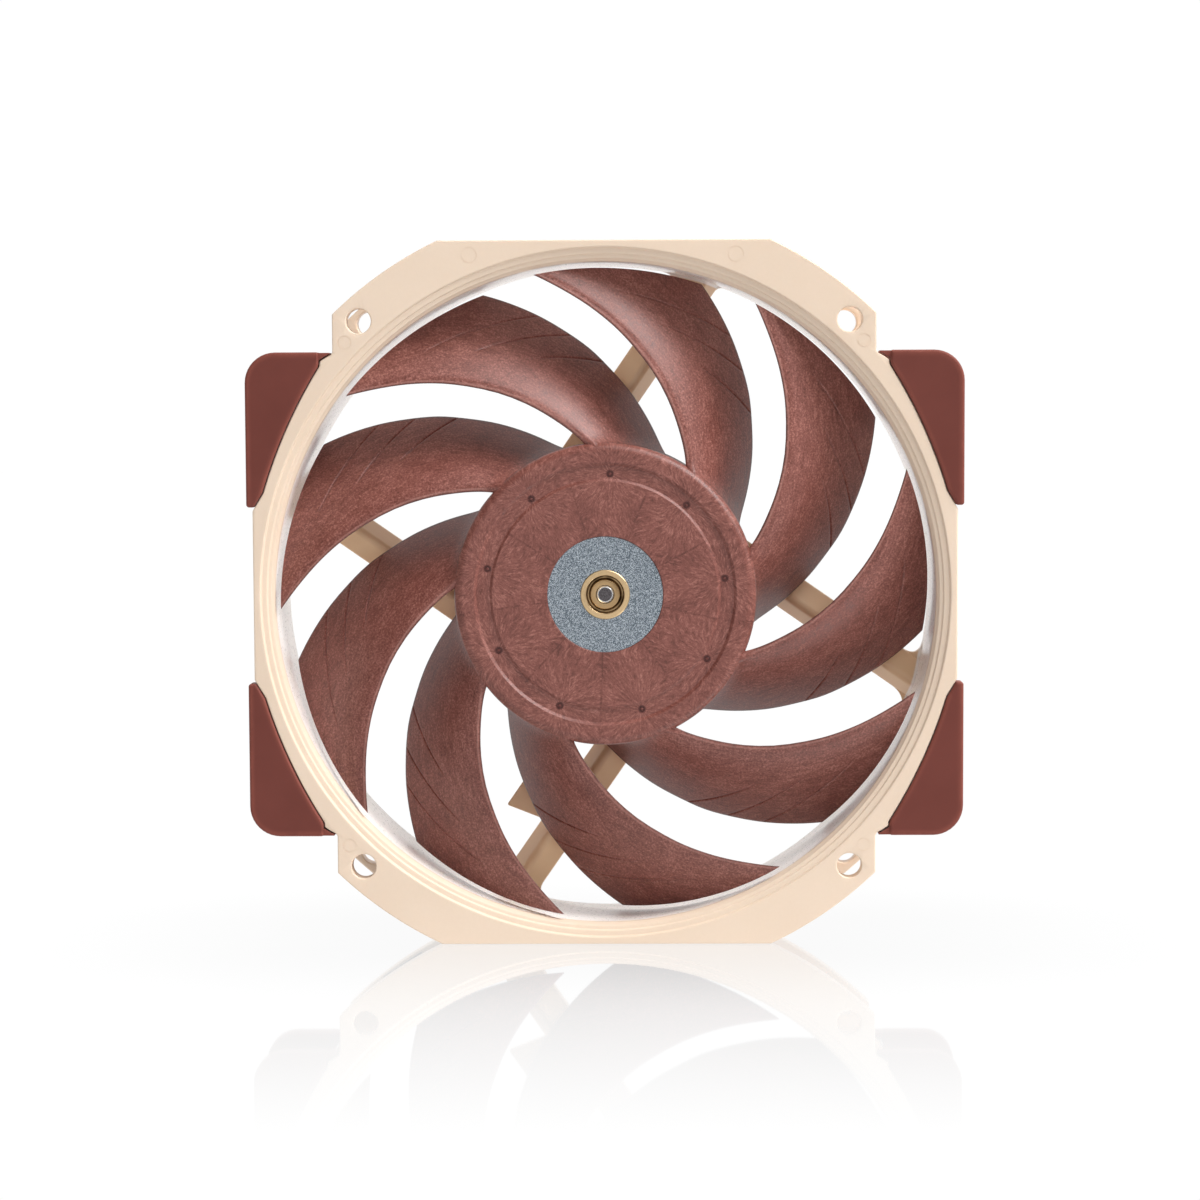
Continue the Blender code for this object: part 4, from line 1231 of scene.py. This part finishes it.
def blade_stations():
    """Stations from root to tip at the trailing edge, crowded at the channels."""
    marks = [ROOT_R + 0.5 * i for i in range(6)] + [ROOT_R + 3.0 + 0.95 * i for i in range(29)]
    marks += [TIP_R - 0.5, TIP_R]
    marks = [m for m in marks if all(abs(m - c[0]) > 0.62 for c in CHANNELS)]
    return sorted(marks + [c[0] + offset for c in CHANNELS for offset in CHANNEL_STATIONS])


def station_radius(station, s):
    """Stations near a channel follow it along the chord, root and tip stay put."""
    shifts = sorted((c[0], channel_radius(c, s) - c[0]) for c in CHANNELS)
    knots = [(ROOT_R, 0.0), (34.0, 0.0)] + shifts + [(54.2, 0.0), (TIP_R + 0.01, 0.0)]
    for (a, shift_a), (b, shift_b) in zip(knots, knots[1:]):
        if a <= station <= b:
            break
    t = (station - a) / (b - a)
    return station + (shift_a + (shift_b - shift_a) * t)


def blade(k):
    bm = bmesh.new()
    rings = []
    for station in blade_stations():
        loop = [blade_point(station_radius(station, s), s, 1) for s in CHORD]
        loop += [blade_point(station_radius(station, s), s, -1) for s in reversed(CHORD[1:-1])]
        rings.append([bm.verts.new(point) for point in loop])
    for a, b in zip(rings, rings[1:]):
        bridge(bm, a, b)
    for ring in (rings[0], rings[-1]):  # ends, closed strip by strip across the thickness
        count = len(ring)
        for i in range(count // 2):
            strip = (ring[i], ring[i + 1], ring[count - i - 1], ring[(count - i) % count])
            bm.faces.new(list(dict.fromkeys(strip)))  # the first and last are triangles
    turn = Matrix.Rotation(math.tau * k / BLADES - math.radians(BLADE_TURN), 4, "Z")
    bmesh.ops.transform(bm, matrix=turn, verts=bm.verts)
    return new_object(f"blade_{k}", bm)


def build_impeller(finish):
    hub = lathe("hub", round_corners(HUB, 8), 288)
    pits, pips = [], []
    for k in range(BLADES):
        angle = math.radians(GATE_ANGLE + PITCH * k)
        x, y = GATE_R * math.cos(angle) * MM, GATE_R * math.sin(angle) * MM
        for name, profile, steps, made in [("pit", GATE_PIT, 20, pits), ("pip", GATE_PIP, 16, pips)]:
            piece = lathe(name, profile, steps)
            piece.data.transform(Matrix.Translation((x, y, 0)))
            made.append(piece)
    hub = combine(hub, pits, "DIFFERENCE")
    wheel = combine(hub, [blade(k) for k in range(BLADES)] + pips, "UNION")
    wheel.name = "impeller_wheel"
    show(wheel, ROTOR, "impeller", finish, smooth=34)


# ------------------------------------------------------------------ hub centre
# each: radius, depth, rounding
YOKE_CUP = [
    (4.22, 0.93, 0.03), (9.865, 0.93, 0.03), (9.865, 2.9, 0.1), (23.2, 2.9, 0.4),
    (23.9, 3.6, 0.5), (23.9, 18.0, 0.1), (22.9, 18.0, 0.1), (22.9, 4.0, 0.4), (4.22, 4.0, 0.1),
]
BRASS_INSERT = [
    (1.56, 1.36, 0.08), (2.5, 1.52, 0.14), (2.72, 2.5, 0.15), (3.1, 2.5, 0.12),
    (3.28, 0.8, 0.1), (4.08, 0.72, 0.08), (4.2, 0.84, 0.06), (4.2, 4.3, 0.1), (5.6, 4.3, 0.2),
    (5.6, 5.6, 0.2), (3.4, 5.6, 0.1), (3.4, 7.0, 0.15), (1.56, 7.0, 0.1),
]
SPINDLE = [
    (0, 1.15, 0), (1.28, 1.15, 0.06), (1.5, 1.38, 0.08), (1.5, 21.1, 0.05), (1.0, 21.1, 0.05),
    (1.0, 21.75, 0.05), (1.5, 21.75, 0.1), (1.3, 22.3, 0.1), (0.7, 22.7, 0.2), (0, 22.8, 0),
]


def build_hub_centre(yoke, brass, shaft):
    cup = lathe("yoke_cup", round_corners(YOKE_CUP, 5), 192)
    show(cup, ROTOR, "rotor_yoke", yoke)
    insert = lathe("brass_insert", round_corners(BRASS_INSERT, 5), 128)
    show(insert, ROTOR, "hub_bushing", brass)
    spindle = lathe("spindle", round_corners(SPINDLE), 96)
    show(spindle, ROTOR, "shaft", shaft)


# ------------------------------------------------------------------ the CAD pieces that stay
def wire_finish(color_name, rgb, spread):
    return plastic(f"finish_wire_{color_name}", rgb, rough=0.35, grain=0.2, spread=spread)


def dress_kept_pieces():
    black = plastic("finish_black", (0.022, 0.022, 0.024), rough=0.42, grain=0.35, spread=0.25)
    chip = plastic(
        "finish_chip", (0.018, 0.018, 0.02), rough=0.5, grain=0.4, spread=0.3, scale=5.0
    )
    nylon = plastic("finish_nylon", (0.72, 0.71, 0.66), grain=0.25, spread=0.05)
    ferrite = plastic(
        "finish_ferrite", (0.045, 0.045, 0.05), rough=0.6, grain=0.5, spread=0.35, scale=3.0
    )
    bronze = metal("finish_bronze", (0.42, 0.28, 0.15), rough=0.5, speckle=0.25, scale=5.0)
    shell = metal("finish_shell", (0.70, 0.49, 0.22), rough=0.28, rings=6.0)
    clip = metal("finish_clip", (0.55, 0.55, 0.57))
    tin = metal("finish_tin", (0.72, 0.70, 0.64), rough=0.25)
    ceramic = plastic("finish_capacitor", (0.42, 0.34, 0.25), rough=0.4, grain=0.2, spread=0.12)
    finishes = {
        "magnet_ring": ferrite,
        "bias_magnet": ferrite,
        "retaining_clip": clip,
        "bearing_shell": shell,
        "bearing_sleeve": bronze,
        "oil_seal_ring": black,
        "thrust_disc": nylon,
        "stator_core": lamination_finish(),
        "bobbin_front": nylon,
        "bobbin_rear": nylon,
        "circuit_board": board_finish(),
        "driver_chip": chip,
        "hall_sensor": chip,
        "filter_capacitor": ceramic,
        "rear_label": label_finish(),
        "plug_housing": black,
        "cable_sleeve": sleeving_finish(),
        "wire_1": wire_finish("black", (0.022, 0.022, 0.024), spread=0.2),
        "wire_2": wire_finish("yellow", (0.68, 0.50, 0.05), spread=0.08),
        "wire_3": wire_finish("green", (0.05, 0.33, 0.10), spread=0.12),
        "wire_4": wire_finish("blue", (0.04, 0.12, 0.46), spread=0.12),
    }
    winding = coil_finish()
    for i in range(1, 5):
        finishes[f"coil_{i}"] = winding
        finishes[f"terminal_{i}"] = tin
    for name, finish in finishes.items():
        node = NODES[name]
        if name.startswith("wire_"):  # round the wires' flat sides
            node.modifiers.new("join", "WELD").merge_threshold = 0.000002
            subdivide = node.modifiers.new("round", "SUBSURF")
            subdivide.levels = subdivide.render_levels = 2
        for material_slot in node.material_slots:
            material_slot.material = finish
        if not node.material_slots:
            node.data.materials.append(finish)


# ------------------------------------------------------------------ stage
# brightness of the surroundings, by what sees them
SEEN_WORLD = 1.01  # the camera
FRONT_SOFT, BACK_SOFT = 0.21, 0.80  # diffuse light, from the room in front and from behind
FRONT_SHINE, BACK_SHINE = 0.15, 1.0  # reflections
FLOOR_FRONT, FLOOR_BACK = 0.80, 0.95  # the floor's glow onto the fan

# softboxes, aimed at the middle of the fan: name, place, size in metres, power in watts
LIGHTS = [
    ("key", (0.50, -0.40, 0.92), (0.8, 0.8), 10.6),
    ("rim", (0.85, -0.32, 0.90), (0.5, 0.5), 10.0),
    ("fill", (-0.15, -1.10, 0.20), (0.9, 0.6), 1.6),
    ("side", (1.1, -0.30, -0.05), (0.5, 1.3), 2.6),
]


def floor_material():
    """A glowing white floor with a faint mirror, strongest behind the fan."""
    material = bpy.data.materials.new("floor")
    material.use_nodes = True
    g = Graph(material.node_tree)
    g.tree.nodes.clear()
    x, y, _ = g.axes(g.value("NewGeometry", output="Position"))
    # the polish fades towards the viewer
    near = y.span(-0.186, -0.0125, smooth=False)
    polish = g.math("MULTIPLY", g.math("POWER", near, 1.2), 0.33)
    gloss = g.node("BsdfGlossy")
    g.fill(gloss, {"Color": polish, "Roughness": 0.03})
    # what the polish adds is taken off the glow, so the floor stays one white
    level = g.math("MULTIPLY_ADD", polish, -BACK_SHINE, SEEN_WORLD)
    # a soft shade round the flat the fan stands on
    ahead = g.math("SUBTRACT", g.math("ABSOLUTE", y, 0.0), HALF_DEPTH)
    ahead = g.math("MAXIMUM", ahead, 0.0)
    aside = g.math("SUBTRACT", g.math("ABSOLUTE", x, 0.0), 0.024)
    aside = g.math("MULTIPLY", g.math("MAXIMUM", aside, 0.0), 0.8)
    squares = g.math("ADD", g.math("POWER", ahead, 2.0), g.math("POWER", aside, 2.0))
    away = g.math("SQRT", squares, 0.0)
    shade = away.span(0.0, 0.075, to=(0.915, 1.0))
    # bright to the camera; gives the fan less light, dim in front of it and white behind
    given = y.span(-0.03, 0.15, to=(FLOOR_FRONT, FLOOR_BACK), smooth=False)
    camera_ray = g.value("LightPath", output="Is Camera Ray")
    strength = g.blend(camera_ray, given, g.math("MULTIPLY", level, shade))
    glow = g.value("Emission", WHITE, strength)
    g.node("OutputMaterial", g.value("AddShader", glow, *g.outputs(gloss, 0)))
    return material


def build_floor():
    bm = bmesh.new()
    for x, y in ((-4, -2.5), (4, -2.5), (4, 5), (-4, 5)):
        bm.verts.new((x, y, cad_lo.z - 0.0001))
    bm.faces.new(bm.verts)
    floor = new_object("floor", bm)
    floor.data.materials.append(floor_material())


def build_world():
    """A white backdrop behind the fan, and a dimmer room in front of it."""
    world = bpy.data.worlds.new("studio")
    scene.world = world
    world.use_nodes = True
    g = Graph(world.node_tree)
    g.tree.nodes.clear()
    camera_ray, glossy_ray = g.outputs(g.node("LightPath"), "Is Camera Ray", "Is Glossy Ray")
    _, y, _ = g.axes(g.value("TexCoord", output="Generated"))
    soft, shine = [
        g.value("Background", WHITE, y.span(-0.35, 0.25, to=levels))
        for levels in ((FRONT_SOFT, BACK_SOFT), (FRONT_SHINE, BACK_SHINE))
    ]
    seen = g.value("Background", WHITE, SEEN_WORLD)
    unseen = g.value("MixShader", glossy_ray, soft, shine)
    g.node("OutputWorld", g.value("MixShader", camera_ray, unseen, seen))


def add_softbox(name, place, size, power):
    light = bpy.data.lights.new(name, "AREA")
    light.shape = "RECTANGLE"
    light.size, light.size_y = size
    light.energy = power
    obj = bpy.data.objects.new(name, light)
    obj.location = place
    obj.rotation_mode = "QUATERNION"
    obj.rotation_quaternion = (-Vector(place)).to_track_quat("-Z", "Y")
    obj.visible_camera = False
    scene.collection.objects.link(obj)


# ------------------------------------------------------------------ camera
AZIMUTH, ELEVATION = math.radians(1.23), math.radians(2.81)
DISTANCE = 0.6436
LENS, SENSOR = 111.09, 36.0
# the lens axis aims below and to the right of the fan, and the camera rolls about it
TILT, YAW, ROLL = math.radians(2.30), math.radians(0.23), math.radians(0.243)
# the middle of the intake face, right of and above the image centre, in image widths
FACE_RIGHT, FACE_ABOVE = 0.00420833, 0.00433333


def level_axes(aim):
    """Right and up for a level camera that looks along aim."""
    right = aim.cross(UP).normalized()
    return right, right.cross(aim)


def build_camera():
    data = bpy.data.cameras.new("camera")
    data.sensor_width = SENSOR
    data.lens = LENS
    data.clip_start, data.clip_end = 0.01, 20.0
    camera = bpy.data.objects.new("camera", data)
    scene.collection.objects.link(camera)
    camera.location = (
        DISTANCE * math.sin(AZIMUTH) * math.cos(ELEVATION),
        -DISTANCE * math.cos(AZIMUTH) * math.cos(ELEVATION),
        DISTANCE * math.sin(ELEVATION),
    )
    sight = (Vector((0, -HALF_DEPTH, 0)) - camera.location).normalized()
    right, upward = level_axes(sight)
    aim = sight * math.cos(TILT) - upward * math.sin(TILT)
    aim = (aim * math.cos(YAW) + right * math.sin(YAW)).normalized()
    right, upward = level_axes(aim)
    right, upward = (
        right * math.cos(ROLL) - upward * math.sin(ROLL),
        right * math.sin(ROLL) + upward * math.cos(ROLL),
    )
    camera.rotation_mode = "QUATERNION"
    camera.rotation_quaternion = Matrix((right, upward, -aim)).transposed().to_quaternion()
    # shift the image so that the face lands in its place
    reach = LENS / SENSOR / sight.dot(aim)
    data.shift_x = sight.dot(right) * reach - FACE_RIGHT
    data.shift_y = sight.dot(upward) * reach - FACE_ABOVE
    scene.camera = camera


# ------------------------------------------------------------------ build
beige = frame_finish()
brown = impeller_finish()
rubber = pad_finish()
steel = yoke_finish()
brass = brass_finish()
ground = shaft_finish()
build_frame(beige)
build_pads(rubber)
build_impeller(brown)
build_hub_centre(steel, brass, ground)
dress_kept_pieces()
build_floor()
build_world()
for light in LIGHTS:
    add_softbox(*light)
build_camera()
scene.view_settings.view_transform = "Standard"
scene.view_settings.look = "None"

bpy.context.view_layer.update()
